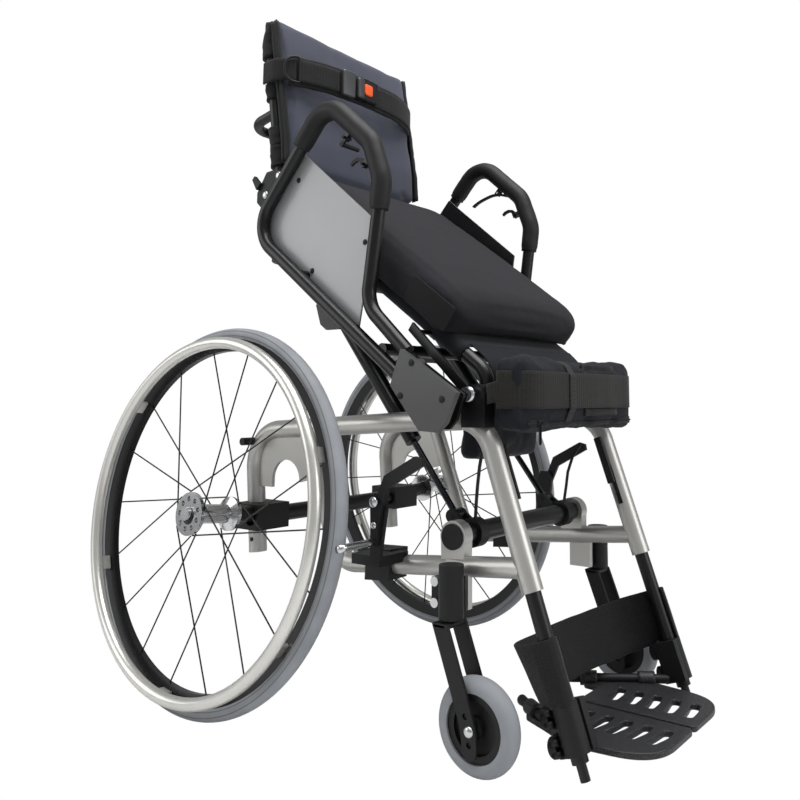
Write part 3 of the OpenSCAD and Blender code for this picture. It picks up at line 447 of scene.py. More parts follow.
def flat(width, thick, across=8, ends=3):
    """The cross-section of webbing: flat faces with round edges."""
    w, r = width / 2 - thick / 2, thick / 2
    line = [(-w + 2 * w * i / across, r) for i in range(across + 1)]
    turn = [(w + r * math.sin(math.pi * k / ends), r * math.cos(math.pi * k / ends)) for k in range(1, ends)]
    back = [(-a, -b) for a, b in line]
    return line + turn + back + [(-a, -b) for a, b in turn]


def webbed(name, path, way, wide, thick, material, body, cut=None):
    """A flat strap on a path, its width pointing one way; the length of cut, or else of the path, is worked out and
    not kept.
    """
    piece = sweep(name, path, [way] * len(path), flat(wide, thick), material)
    runs(cut or path)[-1]
    return keep(piece, body, "black_webbing")


def any_side(path):
    """A steady sideways direction for round sweeps along a path."""
    sides, last = [], None
    for i in range(len(path)):
        along = (Vector(path[min(i + 1, len(path) - 1)]) - Vector(path[max(i - 1, 0)])).normalized()
        if last is None:
            last = along.orthogonal()
        last = (last - along * last.dot(along)).normalized()
        sides.append(last)
    return sides


def tube(name, path, radius, material, count=14):
    return sweep(name, path, any_side(path), disc(radius, count), material)


def smooth_path(points, count):
    """Points spread evenly along a soft curve through the given points."""
    pts = [Vector(p) for p in points]
    ends = [2 * pts[0] - pts[1]] + pts + [2 * pts[-1] - pts[-2]]
    fine = []
    for i in range(len(pts) - 1):
        a, b, c, d = ends[i:i + 4]
        for k in range(16):
            t = k / 16
            fine.append(0.5 * ((2 * b) + (c - a) * t + (2 * a - 5 * b + 4 * c - d) * t ** 2
                               + (3 * b - a - 3 * c + d) * t ** 3))
    fine.append(pts[-1])
    return even_path(fine, count)


def even_path(points, count):
    gaps = [(b - a).length for a, b in zip(points, points[1:])]
    total, out, i, run = sum(gaps), [], 0, 0.0
    for k in range(count):
        want = total * k / (count - 1)
        while i < len(gaps) - 1 and run + gaps[i] < want:
            run += gaps[i]
            i += 1
        out.append(points[i].lerp(points[i + 1], clamped((want - run) / max(gaps[i], 1e-9))))
    return out


def filleted(points, radius, steps=8):
    """A bent-tube centre line: straight runs joined by round bends."""
    pts = [Vector(p) for p in points]
    out = [pts[0]]
    for a, b, c in zip(pts, pts[1:], pts[2:]):
        u, w = (a - b).normalized(), (c - b).normalized()
        half = u.angle(w) / 2
        reach = radius / math.tan(half)
        centre = b + (u + w).normalized() * radius / math.sin(half)
        start, end = b + u * reach - centre, b + w * reach - centre
        turn = start.rotation_difference(end)
        for k in range(steps + 1):
            out.append(centre + Matrix.Rotation(turn.angle * k / steps, 3, turn.axis) @ start)
    return out + [pts[-1]]


def rounded(width, length, corner, steps=6):
    """A rectangle outline with round corners, counter-clockwise."""
    out = []
    for k, (sx, sy) in enumerate(((1, 1), (-1, 1), (-1, -1), (1, -1))):
        cx, cy = sx * (width / 2 - corner), sy * (length / 2 - corner)
        for i in range(steps + 1):
            a = math.pi / 2 * (k + i / steps)
            out.append((cx + corner * math.cos(a), cy + corner * math.sin(a)))
    return out


def pillow(name, width, length, height, corner, low_edge, high_edge, place, material):
    """A closed block with round edges: outlines stacked from bottom to top, put in place by a function."""
    levels = [(low_edge * (1 - math.sin(a)), low_edge * (1 - math.cos(a)))
              for a in (0, math.pi / 6, math.pi / 3, math.pi / 2)]
    levels += [(high_edge * (1 - math.cos(a)), height - high_edge * (1 - math.sin(a)))
               for a in (0, math.pi / 8, math.pi / 4, 3 * math.pi / 8, math.pi / 2)]
    rings = [rounded(width - 2 * inset, length - 2 * inset, max(corner - inset, 0.004)) for inset, _ in levels]
    return stacked(name, [[place(a, b, up) for a, b in ring] for ring, (_, up) in zip(rings, levels)], material)


def stacked(name, rings, material):
    """A closed block from outlines with the same number of points, first to last."""
    n = len(rings[0])
    verts = [p for ring in rings for p in ring]
    faces = [[i * n + j, i * n + (j + 1) % n, (i + 1) * n + (j + 1) % n, (i + 1) * n + j]
             for i in range(len(rings) - 1) for j in range(n)]
    faces += [list(range(n)), list(range(len(verts) - n, len(verts)))]
    return link(name, verts, faces, [[(0.0, 0.0)] * len(f) for f in faces], material)


def applied(obj):
    """Bakes an object's modifiers into its mesh."""
    mesh = bpy.data.meshes.new_from_object(obj.evaluated_get(bpy.context.evaluated_depsgraph_get()))
    obj.modifiers.clear()
    obj.data = mesh
    return obj


CLOTH_FRAMES = 20


def stuffed(obj, voxel, pressure, limit):
    """Evens the mesh, then lets cloth under pressure fill out, never moving a point more than the limit."""
    even = obj.modifiers.new("even", "REMESH")
    even.mode = "VOXEL"
    even.voxel_size = voxel
    even.use_smooth_shade = True
    applied(obj)
    rest = np.array([v.co for v in obj.data.vertices])
    cloth = obj.modifiers.new("stuffing", "CLOTH")
    cloth.settings.quality = 5
    cloth.settings.tension_stiffness = 12
    cloth.settings.compression_stiffness = 6
    cloth.settings.bending_stiffness = 0.8
    cloth.settings.use_pressure = True
    cloth.settings.uniform_pressure_force = pressure
    cloth.settings.effector_weights.gravity = 0
    cloth.point_cache.frame_start, cloth.point_cache.frame_end = 1, CLOTH_FRAMES
    for step in range(1, CLOTH_FRAMES + 1):
        bpy.context.scene.frame_set(step)
    moved = obj.evaluated_get(bpy.context.evaluated_depsgraph_get()).data
    swell = np.array([v.co for v in moved.vertices]) - rest
    far = np.linalg.norm(swell, axis=1, keepdims=True)
    obj.modifiers.clear()
    bpy.context.scene.frame_set(1)
    rest += swell * np.minimum(1, limit / np.maximum(far, 1e-9))
    obj.data.vertices.foreach_set("co", rest.ravel())
    return obj


def sculpt(obj, push):
    """Moves every point by what push(point, normal) returns."""
    for v in obj.data.vertices:
        v.co += push(v.co.copy(), v.normal.copy())
    obj.data.update()
    return obj


def refined(obj):
    """One round of subdivision, then UVs laid along each face's main direction."""
    sub = obj.modifiers.new("fine", "SUBSURF")
    sub.levels = sub.render_levels = 1
    applied(obj)
    mesh = obj.data
    mesh.polygons.foreach_set("use_smooth", [True] * len(mesh.polygons))
    layer = mesh.uv_layers.get("UVMap") or mesh.uv_layers.new(name="UVMap")
    points, normals = read(mesh.vertices, "co", 3), read(mesh.polygons, "normal", 3)
    corners, sides = read(mesh.loops, "vertex_index"), read(mesh.polygons, "loop_total")
    main = np.repeat(np.argmax(np.abs(normals), axis=1), sides)
    pairs = np.array([(1, 2), (0, 2), (0, 1)])[main]
    uv = np.take_along_axis(points[corners], pairs, axis=1)
    layer.data.foreach_set("uv", uv.ravel())
    return obj


def read(items, key, width=None):
    """One attribute of many mesh items: whole numbers, or rows of the given width."""
    values = np.zeros(len(items) * (width or 1), dtype=np.float32 if width else np.int32)
    items.foreach_get(key, values)
    return values.reshape(-1, width) if width else values


def ripple(p, scale, seed=0.0):
    """A smooth value between -1 and 1 that changes slowly from place to place."""
    return noise.noise(Vector((p[0], p[1], p[2])) * scale + Vector((seed, seed * 1.7, -seed)))


def laid(target, points, lift):
    """Drops points onto a mesh from in front and lifts them off it by a hair."""
    out = []
    for p in points:
        hit, place, _, _ = target.ray_cast(p + AHEAD * 0.3, -AHEAD)
        out.append(place + AHEAD * lift if hit else p)
    return out


def upholstered(piece, shape, fill, body, *replaced):
    """Shapes a stuffed block, lays its UVs and hands it to the body it rides on."""
    sculpt(piece, shape)
    refined(piece)
    keep(piece, body, "navy_fabric", *replaced)
    print(piece.name, len(piece.data.polygons), "faces")


print("helpers ready")

# %% [markdown]
# ## Seat cushion
#
# A foam wedge in a black stretch cover. The top is crowned, the edges are round and soft, and the cover is
# pulled tight. A rounded block is blown up slightly as cloth, then crowned.

# %% Seat cushion
CUSHION = (0.378, 0.432, 0.0585)
CUSHION_MID = 304.0
CUSHION_LOW = 39.7


def on_cushion(a, b, up):
    return on_seat(a / MM, CUSHION_MID + b / MM, CUSHION_LOW + up / MM)


cushion = pillow("seat_cushion_cover", CUSHION[0] - 0.008, CUSHION[1] - 0.008, CUSHION[2] - 0.003, 0.030,
                 0.006, 0.011, lambda a, b, up: on_cushion(a, b, up + 0.0015), cushion_cloth)
stuffed(cushion, 0.005, 1.5, 0.003)
SEAT_UP = Vector((0, -math.sin(LIFT), math.cos(LIFT)))
SEAT_BACK = Vector((0, math.cos(LIFT), math.sin(LIFT)))
cushion_mid = on_cushion(0, 0, CUSHION[2] / 2)


def crown(p, n):
    d = p - cushion_mid
    a, b, w = d.x / (CUSHION[0] / 2), d.dot(SEAT_BACK) / (CUSHION[1] / 2), d.dot(SEAT_UP)
    rise = max(0, 1 - a * a) * max(0, 1 - b * b) * max(0, n.dot(SEAT_UP))
    seam = bell(w + 0.014, 0.0022) * max(0, 1 - abs(n.dot(SEAT_UP)) * 1.4)
    nose = max(0.0, (-b - 0.74) / 0.26) ** 2 * clamped(w / CUSHION[2] + 0.5)
    skirt = clamped((abs(a) - 0.86) / 0.1) * clamped(-w / 0.02)
    lift = rise * 0.008 - nose * 0.024 - skirt * 0.009
    return SEAT_UP * lift - n * seam * 0.0016 + n * ripple(p, 26, 3.0) * 0.0006


upholstered(cushion, crown, 0.9, "seat", "seat_cushion")
PATCH = (0.098, 0.040)
patch = pillow("cushion_side_patch", *PATCH, 0.0026, 0.007, 0.0008, 0.0010,
               lambda a, b, up: on_seat(-187.6 - up / MM, 140 + a / MM, 63 + b / MM), patch_cloth)
keep(patch, "seat", "navy_fabric")

# %% [markdown]
# ## Seat sling and apron
#
# Navy pack cloth is stretched between the two seat tubes, wraps them as sleeves and ends in front as a loose
# apron that hangs down behind the knee pad. Each is a grid of points.

# %% Seat sling
SEAT_X = 149.0
SLEEVE = 13.2
SLING_UP = 25.0
SLING_FRONT, SLING_BACK, SLING_STEPS = 66.0, 486.0, 40


def sling_outline():
    """Across the seat: up round the right tube, over the top and down round the left tube, as (x, up)."""
    right = [(-SEAT_X - SLEEVE * math.sin(a), SLING_UP + SLEEVE * math.cos(a))
             for a in [math.radians(d) for d in range(250, -1, -25)]]
    middle = [(-SEAT_X + 2 * SEAT_X * k / 24, SLING_UP + SLEEVE) for k in range(1, 24)]
    return right + middle + [(-x, w) for x, w in reversed(right)]


def grid_sheet(name, rows, thick, material):
    """A thin cloth from rows of points: a face layer, a back layer and their rim."""
    n, m = len(rows), len(rows[0])
    normals = []
    for i in range(n):
        for j in range(m):
            a = rows[min(i + 1, n - 1)][j] - rows[max(i - 1, 0)][j]
            b = rows[i][min(j + 1, m - 1)] - rows[i][max(j - 1, 0)]
            normals.append(a.cross(b).normalized())
    flat_rows = [p for row in rows for p in row]
    verts = [p + k * thick / 2 for p, k in zip(flat_rows, normals)]
    verts += [p - k * thick / 2 for p, k in zip(flat_rows, normals)]
    us, vs = runs(rows[n // 2]), runs([row[m // 2] for row in rows])
    faces, uvs, off = [], [], n * m
    for i in range(n - 1):
        for j in range(m - 1):
            quad = [i * m + j, i * m + j + 1, (i + 1) * m + j + 1, (i + 1) * m + j]
            pair = [(us[j], vs[i]), (us[j + 1], vs[i]), (us[j + 1], vs[i + 1]), (us[j], vs[i + 1])]
            faces += [quad, [q + off for q in reversed(quad)]]
            uvs += [pair, pair[::-1]]
    rim = [j for j in range(m)] + [i * m + m - 1 for i in range(1, n)]
    rim += [(n - 1) * m + j for j in range(m - 2, -1, -1)] + [i * m for i in range(n - 2, 0, -1)]
    for a, b in zip(rim, rim[1:] + rim[:1]):
        faces.append([a, a + off, b + off, b])
        uvs.append([(0, 0), (0, thick), (0.004, thick), (0.004, 0)])
    return link(name, verts, faces, uvs, material)


sling_line = sling_outline()
sling_rows = []
for k in range(SLING_STEPS + 1):
    u = SLING_BACK - (SLING_BACK - SLING_FRONT) * k / SLING_STEPS
    sag = 2.0 * math.sin(math.pi * k / SLING_STEPS)
    row = []
    for x, w in sling_line:
        inside = max(0.0, 1 - (x / SEAT_X) ** 2)
        loose = ripple((x * 0.02, u * 0.012, w * 0.02), 1.0, 5.0)
        row.append(on_seat(x, u, w - sag * inside + 0.5 * loose))
    sling_rows.append(row)
# The sling takes the darkened navy: painted shade under the cushion.
sling = grid_sheet("seat_sling_cloth", sling_rows, 0.0018, navy_painted_shade)
sling_size = (runs(sling_rows[SLING_STEPS // 2])[-1], (SLING_BACK - SLING_FRONT) * MM)
keep(sling, "seat", "navy_fabric", "seat_sling")
print("sling", [round(s, 3) for s in sling_size])

# %% Apron in front of the seat
APRON = [(70, 40.4), (52, 39.4), (36, 37), (22, 30), (12, 20), (5, 9), (0, -2), (-4, -12)]
apron_curve = smooth_path([on_seat(0, u, w) for u, w in APRON], 30)
apron_rows = []
for i, p in enumerate(apron_curve):
    t = i / 29
    row = []
    for j in range(61):
        s = j / 30 - 1
        fold = (math.sin(s * 9 + 1.2 + t * 1.5) * 0.55 + math.sin(s * 17 - t * 2.0 + 0.4) * 0.3) * t
        row.append(p + Vector((s * (0.146 - 0.012 * t), 0, 0)) + SEAT_UP * 0.0032 * fold
                   - SEAT_BACK * 0.004 * t * fold)
    apron_rows.append(row)
# The apron takes the darkened navy: painted shade under the cushion's front.
apron = grid_sheet("seat_apron_cloth", apron_rows, 0.0016, pad_cloth_painted_shade)
apron_long, apron_wide = runs(apron_curve)[-1], runs(apron_rows[15])[-1]
keep(apron, "seat", "navy_fabric")
print("apron", round(apron_wide, 3), round(apron_long, 3))

# %% [markdown]
# ## Pouch under the seat
#
# A small navy bag hangs under the seat front. It is a soft block, filled out and creased a little.

# %% Pouch
# The pouch takes the darkened navy: painted shade under the seat.
pouch = pillow("under_seat_pouch", 0.186, 0.036, 0.112, 0.016, 0.012, 0.008,
               lambda a, b, up: at(a / MM, 369 - b / MM + (up / MM - 50) * 0.02, 387 + up / MM), navy_painted_shade)
stuffed(pouch, 0.005, 2.0, 0.005)
upholstered(pouch, lambda p, n: n * (ripple(p, 34, 8.0) * 0.0022 + ripple(p, 80, 2.0) * 0.0008), 0.4, "seat")

# %% [markdown]
# ## Knee pad
#
# The pad that holds the knees back while standing: a boxy navy cushion with a seam round its sides, a wide
# black strap across its front, a loop that carries the strap, hook-and-loop patches and a zip along the base.

# %% Knee pad body
PAD_MID = (504.0, 487.0)
PAD_RIGHT, PAD_BACK = 8, 27  # from that middle to the pad's own middle and its back face
PAD_LIP = 0.4535
PAD_HALF = (0.168, 0.048)


def on_pad(a, b, up):
    """Across, along the height, and out of the back face of the pad."""
    return at(a / MM - PAD_RIGHT, PAD_MID[0] - PAD_BACK + up / MM, PAD_MID[1] + b / MM)


# The pad takes the darkened navy: painted shade on its front.
pad = pillow("knee_pad_cover", 0.344, 0.104, 0.053, 0.018, 0.012, 0.013, on_pad, pad_cloth_painted_shade)
stuffed(pad, 0.005, 3.0, 0.006)


def pad_shape(p, n):
    x, up = p.x / PAD_HALF[0], (p.z - PAD_MID[1] * MM) / PAD_HALF[1]
    seam = bell(p.y - at(0, PAD_MID[0] - 15, 0).y, 0.002)
    crease = ripple((p.x * 1.0, p.y * 2.5, p.z * 1.2), 30, 4.0) + 0.5 * ripple(p, 75, 6.0)
    edge = min(1.0, abs(up) ** 3 + abs(x) ** 6)
    bow = -AHEAD * (0.006 * x * x) * max(0, -n.y)
    lip = bell(p.z - PAD_LIP, 0.0022) * max(0, -n.y)
    band = 0.0014 if p.z < PAD_LIP and n.y < 0 else 0.0
    return n * (crease * 0.0022 * (0.35 + edge) - seam * 0.002 - lip * 0.003 + band) + bow


upholstered(pad, pad_shape, 0.8, "chassis", "knee_pad")

# %% Knee pad strap, loop and patches
STRAP_Z = 492
TAB = ((166, 460, 484), (180, 470, 486), (187, 482, 488), (186, 494, 490))
FRONT_OF_PAD = 560


def across_pad(x0, x1, z, count, lift):
    """A line across the front of the pad, dropped onto its cover."""
    line = [at(x0 + (x1 - x0) * k / (count - 1), FRONT_OF_PAD, z) for k in range(count)]
    return laid(pad, line, lift)


strap_line = across_pad(-172, 160, STRAP_Z, 46, 0.0022)
near_end = [at(-186, 490, STRAP_Z), at(-183, 504, STRAP_Z)]
far_end = [at(171, 506, STRAP_Z), at(174, 486, STRAP_Z)]
strap_path = smooth_path(near_end + strap_line[1:-1:3] + far_end, 80)
pad_strap = webbed("knee_pad_strap", strap_path, UP, 0.052, 0.0024, knee_webbing, "chassis")
for name, side in SIDES:
    tab_line = smooth_path([at(side * x, q, z) for x, q, z in TAB], 20)
    tab = sweep("knee_strap_tab_" + name, tab_line, [UP] * 20, flat(0.028, 0.0026), knee_webbing)
    keep(tab, "chassis", "black_webbing")

upright = laid(pad, [at(-64, FRONT_OF_PAD, z) for z in np.linspace(446, 534, 14)], 0.0012)
for p in upright:
    if abs(p.z - STRAP_Z * MM) < 0.028:
        p.y = min(p.y, min(q.y for q in strap_line[12:20]) - 0.0020)
webbed("knee_pad_loop", smooth_path(upright, 40), ACROSS, 0.017, 0.0018, knee_webbing, "chassis",
       cut=upright)
for name, z in (("upper", 526), ("lower", 460)):
    webbed("knee_pad_patch_" + name, across_pad(-26, 84, z, 18, 0.001), UP, 0.011, 0.0022, velcro, "chassis")
print("knee pad straps ready")

# %% [markdown]
# ## Back upholstery
#
# A navy panel hangs between the canes. Its face is lightly padded, the side edges carry black binding, and
# sleeves of black cloth wrap the canes with gaps where the push bar is welded on. The lower flap hangs free
# behind the seat. The side profile was measured row by row, front and rear.

# %% Back panel
BACK_ROWS = [(2, -28, 716), (6, -32, 722), (8, -33, 740), (10, -28, 792), (20, -14, 852), (28, 4, 868),
             (34, 14.5, 884), (38, 10.2, 892), (34, 0.4, 950), (23, -8.5, 1009), (12, -17.9, 1070),
             (2, -27.2, 1130), (-4, -30, 1164), (-9, -26, 1174), (-15, -21, 1179)]
BACK_POINTS = 72
BELT_EDGES = (1.047, 1.115)
WAIST = 0.886
FLAP_HALF, PANEL_HALF, FLAP_FLARE = 146, 176, 12
HIP_Z, FLAP_Z, BLEND = 872, 806, 26


def back_at(z):
    """Front and rear of the panel at a height."""
    for (f0, r0, z0), (f1, r1, z1) in zip(BACK_ROWS, BACK_ROWS[1:]):
        if z <= z1:
            t = (z - z0) / (z1 - z0)
            return f0 + (f1 - f0) * t, r0 + (r1 - r0) * t
    return BACK_ROWS[-1][:2]


def back_half(z):
    """Half the panel's width: narrow flap below, full width above."""
    half = FLAP_HALF + (PANEL_HALF - FLAP_HALF) * ease((z - HIP_Z) / BLEND)
    return half + FLAP_FLARE * ease((FLAP_Z - z) / BLEND)


def back_ring(z):
    """One closed outline of the panel at a height, front face first."""
    front, rear = back_at(z)
    half, thick = back_half(z), (front - rear) / 2
    mid = (front + rear) / 2
    ring = []
    for j in range(BACK_POINTS):
        a = 2 * math.pi * j / BACK_POINTS
        c, s = math.cos(a), math.sin(a)
        x = half * math.copysign(abs(c) ** 0.22, c)
        if z > 884:
            x *= 1 - 0.09 * min(1.0, max(0.0, -s) * 3)
        q = mid + thick * math.copysign(abs(s) ** 0.45, s)
        ring.append(at(x, q, z))
    return ring


back = stacked("back_panel_cover", [back_ring(z) for z in np.linspace(717, 1178, 60)], navy)
stuffed(back, 0.006, 1.5, 0.005)


def back_folds(p, n):
    x, z = p.x / 0.18, p.z
    belt = sum(bell(z - edge, 0.030) for edge in BELT_EDGES)
    pull = ripple((p.x * 0.9, 0, z * 0.32), 24, 2.0) * (0.4 + belt)
    pull += 0.6 * ripple((p.x * 2.2, 0, z * 0.5), 22, 9.0) * belt
    hang = ripple((p.x * 1.3, 0, z * 0.25), 16, 7.0) * (0.25 + max(0.0, 1 - (z - 0.72) / 0.2) * 0.5)
    waist = bell(z - WAIST, 0.010) * 0.0015
    hem = bell(abs(x) - 0.93, 0.012) * 0.0012 if z > 0.90 else 0.0
    return n * (pull * 0.0026 + hang * 0.002 - waist - hem)


upholstered(back, back_folds, 0.5, "back", "back_upholstery")

# %% Piping and cane sleeves
WALL = (0.017, 0.275)


def pucker(p, n):
    return -AHEAD * 0.0014 * ripple((0, 0, p.z), 42, 3.0) + n * 0.0006 * ripple(p, 110, 2.0)


for name, side in SIDES:
    line, wall = [], []
    for z in np.linspace(896, 1168, 40):
        front, rear = back_at(z)
        line.append(at(side * (back_half(z) - 3.5), front - (front - rear) * 0.10, z))
        wall.append(at(side * (back_half(z) + 0.4), front - (front - rear) * 0.30, z))
    keep(tube("back_piping_" + name, line, 0.0034, binding, 10), "back", "black_webbing")
    line = [p + Vector((side * 0.0045, 0.009, 0)) for p in line]
    keep(tube("back_second_piping_" + name, line, 0.0026, binding, 10), "back", "black_webbing")
    gusset = sweep("back_side_wall_" + name, wall, [AHEAD] * 40, flat(WALL[0], 0.0022), binding)
    sculpt(gusset, pucker)
    keep(gusset, "back", "black_webbing")

CANE_FOOT, CANE_TOP = at(163, 6, 868), at(163, -36, 1136)
CANE_BEND = 1.130
SLEEVES = ((893, 930), (931, 966), (1022, 1052), (1104, 1170))


def cane(side, z):
    t = (z * MM - CANE_FOOT.z) / (CANE_TOP.z - CANE_FOOT.z)
    p = CANE_FOOT.lerp(CANE_TOP, t)
    return Vector((side * p.x, p.y, p.z))


for name, side in SIDES:
    for k, (z0, z1) in enumerate(SLEEVES):
        path = [cane(side, z) for z in np.linspace(z0, z1, 15)]
        for point in path:
            point.y -= max(0.0, point.z - CANE_BEND) * 0.35
        sleeve = sweep("cane_sleeve_%s_%d" % (name, k), path, [ACROSS] * 15, disc(0.0158, 20), binding)
        sculpt(sleeve, lambda p, n: n * (0.0022 * ripple(p, 60, 3.0 + k) + 0.0008 * ripple(p, 200, k)))
        keep(sleeve, "back", "black_webbing")
print("piping and sleeves ready")

# %% [markdown]
# ## Chest belt
#
# A padded black belt crosses the chest: a soft backing with bound edges, webbing sewn on its face, a
# ring on the right, and the buckle just right of the middle.

# %% Chest belt
BELT_Z = 1068
BELT_LINE = [(-183, -26), (-185, 4), (-171, 23), (-137, 39), (-90, 52), (-40, 57), (0, 58), (40, 57), (90, 51),
             (134, 36), (163, 17), (178, 0), (180, -24)]
BELT_STEPS = 120
belt_path = smooth_path([at(x, q, BELT_Z) for x, q in BELT_LINE], BELT_STEPS)


def belt_index(x):
    """The point of the belt's middle line nearest to a place across the chest."""
    return min(range(8, BELT_STEPS - 8), key=lambda i: abs(belt_path[i].x - x))


def belt_face(i, out):
    """A point of the belt's middle line, moved out of its face."""
    a, b = belt_path[max(i - 1, 0)], belt_path[min(i + 1, BELT_STEPS - 1)]
    along = (b - a).normalized()
    return belt_path[i] + Vector((along.y, -along.x, 0)) * out


ring_at = belt_index(-0.162)
pad_line = belt_path[ring_at - 2:BELT_STEPS - 2]
backing = sweep("chest_belt_pad", pad_line, [UP] * len(pad_line), flat(0.056, 0.0062, across=14, ends=6), binding)
sculpt(backing, lambda p, n: n * (0.0010 * ripple(p, 45, 1.0)) + UP * 0.0014 * ripple((p.x, 0, 0), 22, 4.0))
keep(backing, "back", "black_webbing", "chest_belt")
face_line = [belt_face(i, 0.0043) for i in range(ring_at + 3, BELT_STEPS - 4)]
webbed("chest_belt_webbing", face_line, UP, 0.042, 0.0024, webbing, "back")
near_line = [belt_face(i, 0.0010 + 0.0045 * (i / ring_at) ** 3) for i in range(ring_at + 2)]
webbed("chest_belt_anchor", near_line, UP, 0.041, 0.0034, webbing, "back")
print("belt length", round(runs(belt_path)[-1], 3))


# %% Belt ring and buckle tongue
def bar_block(name, mid, along, up, size, corner, material, body, slot, *replaced):
    """A rounded block: size along, up and out."""
    along, up = Vector(along).normalized(), Vector(up).normalized()
    out = along.cross(up).normalized()
    block = pillow(name, size[0], size[1], size[2], corner, size[2] * 0.3, size[2] * 0.3,
                   lambda a, b, c: mid + along * a + up * b + out * (c - size[2] / 2), material)
    return keep(block, body, slot, *replaced)


def belt_way(i):
    return (belt_path[i + 1] - belt_path[i - 1]).normalized()


RING_POINTS = 48
ring_line = []
for k in range(RING_POINTS):
    a = 2 * math.pi * k / RING_POINTS
    c, w = math.cos(a), math.sin(a)
    reach = 0.010 * min(1.0, c * 1.9 + 0.35) if c > 0 else 0.0035 + 0.021 * c
    ring_line.append(belt_face(ring_at, 0.0098 if c < 0.2 else 0.0080) + belt_way(ring_at) * reach
                     + UP * 0.0235 * math.copysign(abs(w) ** 0.7, w))
ring = sweep("belt_ring", ring_line, [any_side(ring_line)[0]] * RING_POINTS, disc(0.0021, 10), black_plastic,
             closed=True)
keep(ring, "back", "black_plastic")
fold_line = [belt_face(i, 0.0068) for i in range(ring_at + 2, ring_at + 24)]
webbed("chest_belt_fold", fold_line, UP, 0.041, 0.002, webbing, "back")
tongue_at = belt_index(-0.062)
bar_block("belt_tongue", belt_face(tongue_at, 0.0105), belt_way(tongue_at), UP, (0.030, 0.050, 0.010), 0.003,
          gunmetal, "back", "black_plastic")
bar_block("belt_buckle_body", at(-14, 67, BELT_Z), ACROSS, UP, (0.052, 0.042, 0.012), 0.004, black_plastic,
          "back", "black_plastic", "belt_buckle")
bar_block("belt_buckle_plate", at(-33, 68, BELT_Z), ACROSS, UP, (0.017, 0.040, 0.0125), 0.003, gunmetal,
          "back", "black_plastic")
edge_line = [at(x, 72.6, BELT_Z + z) for x, z in ((-40, 19.5), (-16, 20.5), (8, 19.5), (11.4, 16), (11.4, 6))]
keep(tube("belt_buckle_edge", smooth_path(edge_line, 40), 0.0008, gunmetal, 8), "back", "black_plastic")
bar_block("belt_release_button", at(-15, 72, BELT_Z), ACROSS, UP, (0.021, 0.022, 0.007), 0.005, orange,
          "button", "orange_plastic", "buckle_button")
print("belt ring at", round(belt_path[ring_at].x, 3))

# %% [markdown]
# ## Calf strap
#
# A broad elastic strap hangs behind the calves from one foot post to the other. Its ends wrap the posts.

# %% Calf strap
LEAN_UP = Vector((0, math.sin(LEG_LEAN), math.cos(LEG_LEAN)))
LEAN_BACK = Vector((0, math.cos(LEG_LEAN), -math.sin(LEG_LEAN)))


def on_leg(x, back, up):
    return at(0, *LEG_FOOT) + Vector((x * MM, 0, 0)) + LEAN_BACK * back * MM + LEAN_UP * up * MM


CALF_HALF = [(166, -14.4), (176, -12.6), (181.6, -6), (182, 2), (179.6, 14), (164, 40), (140, 62), (100, 76),
             (50, 84), (0, 86)]
CALF_UP, CALF_STEPS, CALF_WIDE = -100, 130, 0.082
FLARE = Vector((-0.58, 0.81, 0)) * 0.20
calf_points = [on_leg(-x, q, CALF_UP) for x, q in CALF_HALF]
calf_points += [on_leg(x, q, CALF_UP) for x, q in reversed(CALF_HALF[:-1])]
calf_path = smooth_path(calf_points, CALF_STEPS)
calf_ways = [(LEAN_UP + FLARE * math.sin(math.pi * min(i / 58, 1)) ** 2).normalized() for i in range(CALF_STEPS)]
calf = sweep("calf_strap_band", calf_path, calf_ways, flat(CALF_WIDE, 0.0032, across=16, ends=4), webbing)
sculpt(calf, lambda p, n: n * (0.0014 * ripple(p, 20, 2.0)) + LEAN_UP * 0.0022 * ripple((p.x, 0, 0), 14, 5.0))
calf_long = runs(calf_path)[-1]
keep(calf, "footrest", "black_webbing", "calf_strap")
print("calf strap", round(calf_long, 3))

# %% [markdown]
# ## Arm pads
#
# Closed-cell foam tube is pushed over the top of each arm loop. The cut ends are slightly rounded.

# %% Foam arm pads
ARM_LINE = [(112, 896), (173, 964), (273.5, 875), (296.8, 812.4), (290.2, 765)]
ARM_X, FOAM_STEPS = 212, 70
for name, side in SIDES:
    line = even_path(filleted([at(side * ARM_X, q, z) for q, z in ARM_LINE], 0.045, 10), FOAM_STEPS)
    foam = sweep("arm_foam_" + name, line, [ACROSS] * FOAM_STEPS, disc(0.0160, 24), foam_black)

    def soften(p, n, a=line[0], b=line[-1]):
        near = min((p - a).length, (p - b).length)
        return n * (0.0004 * ripple(p, 60, 1.0)) - n * 0.0016 * bell(near - 0.016, 0.002)

    sculpt(foam, soften)
    keep(foam, "arms", "foam", *(["arm_pads"] if name == "right" else []))
print("arm pads ready")

# %% Long release lever on the left arm
LEVER = [(246, 882), (236, 885), (222, 889), (205, 889.5), (188, 886), (170, 880), (157, 873)]
lever_line = smooth_path([at(ARM_X, q, z) for q, z in LEVER], 36)
lever = sweep("left_release_blade", lever_line, [ACROSS] * 36, flat(0.010, 0.0046, across=6), black_plastic)
keep(lever, "left_release_long", "black_plastic", "left_long_lever")
print("release lever ready")

# %% [markdown]
# ## Repeated details with Geometry Nodes
#
# Screws, stitches, zip teeth and knob lobes repeat one small shape many times. A node tree puts the shape on
# points and turns it to face the right way. The result is made into a plain mesh at once.

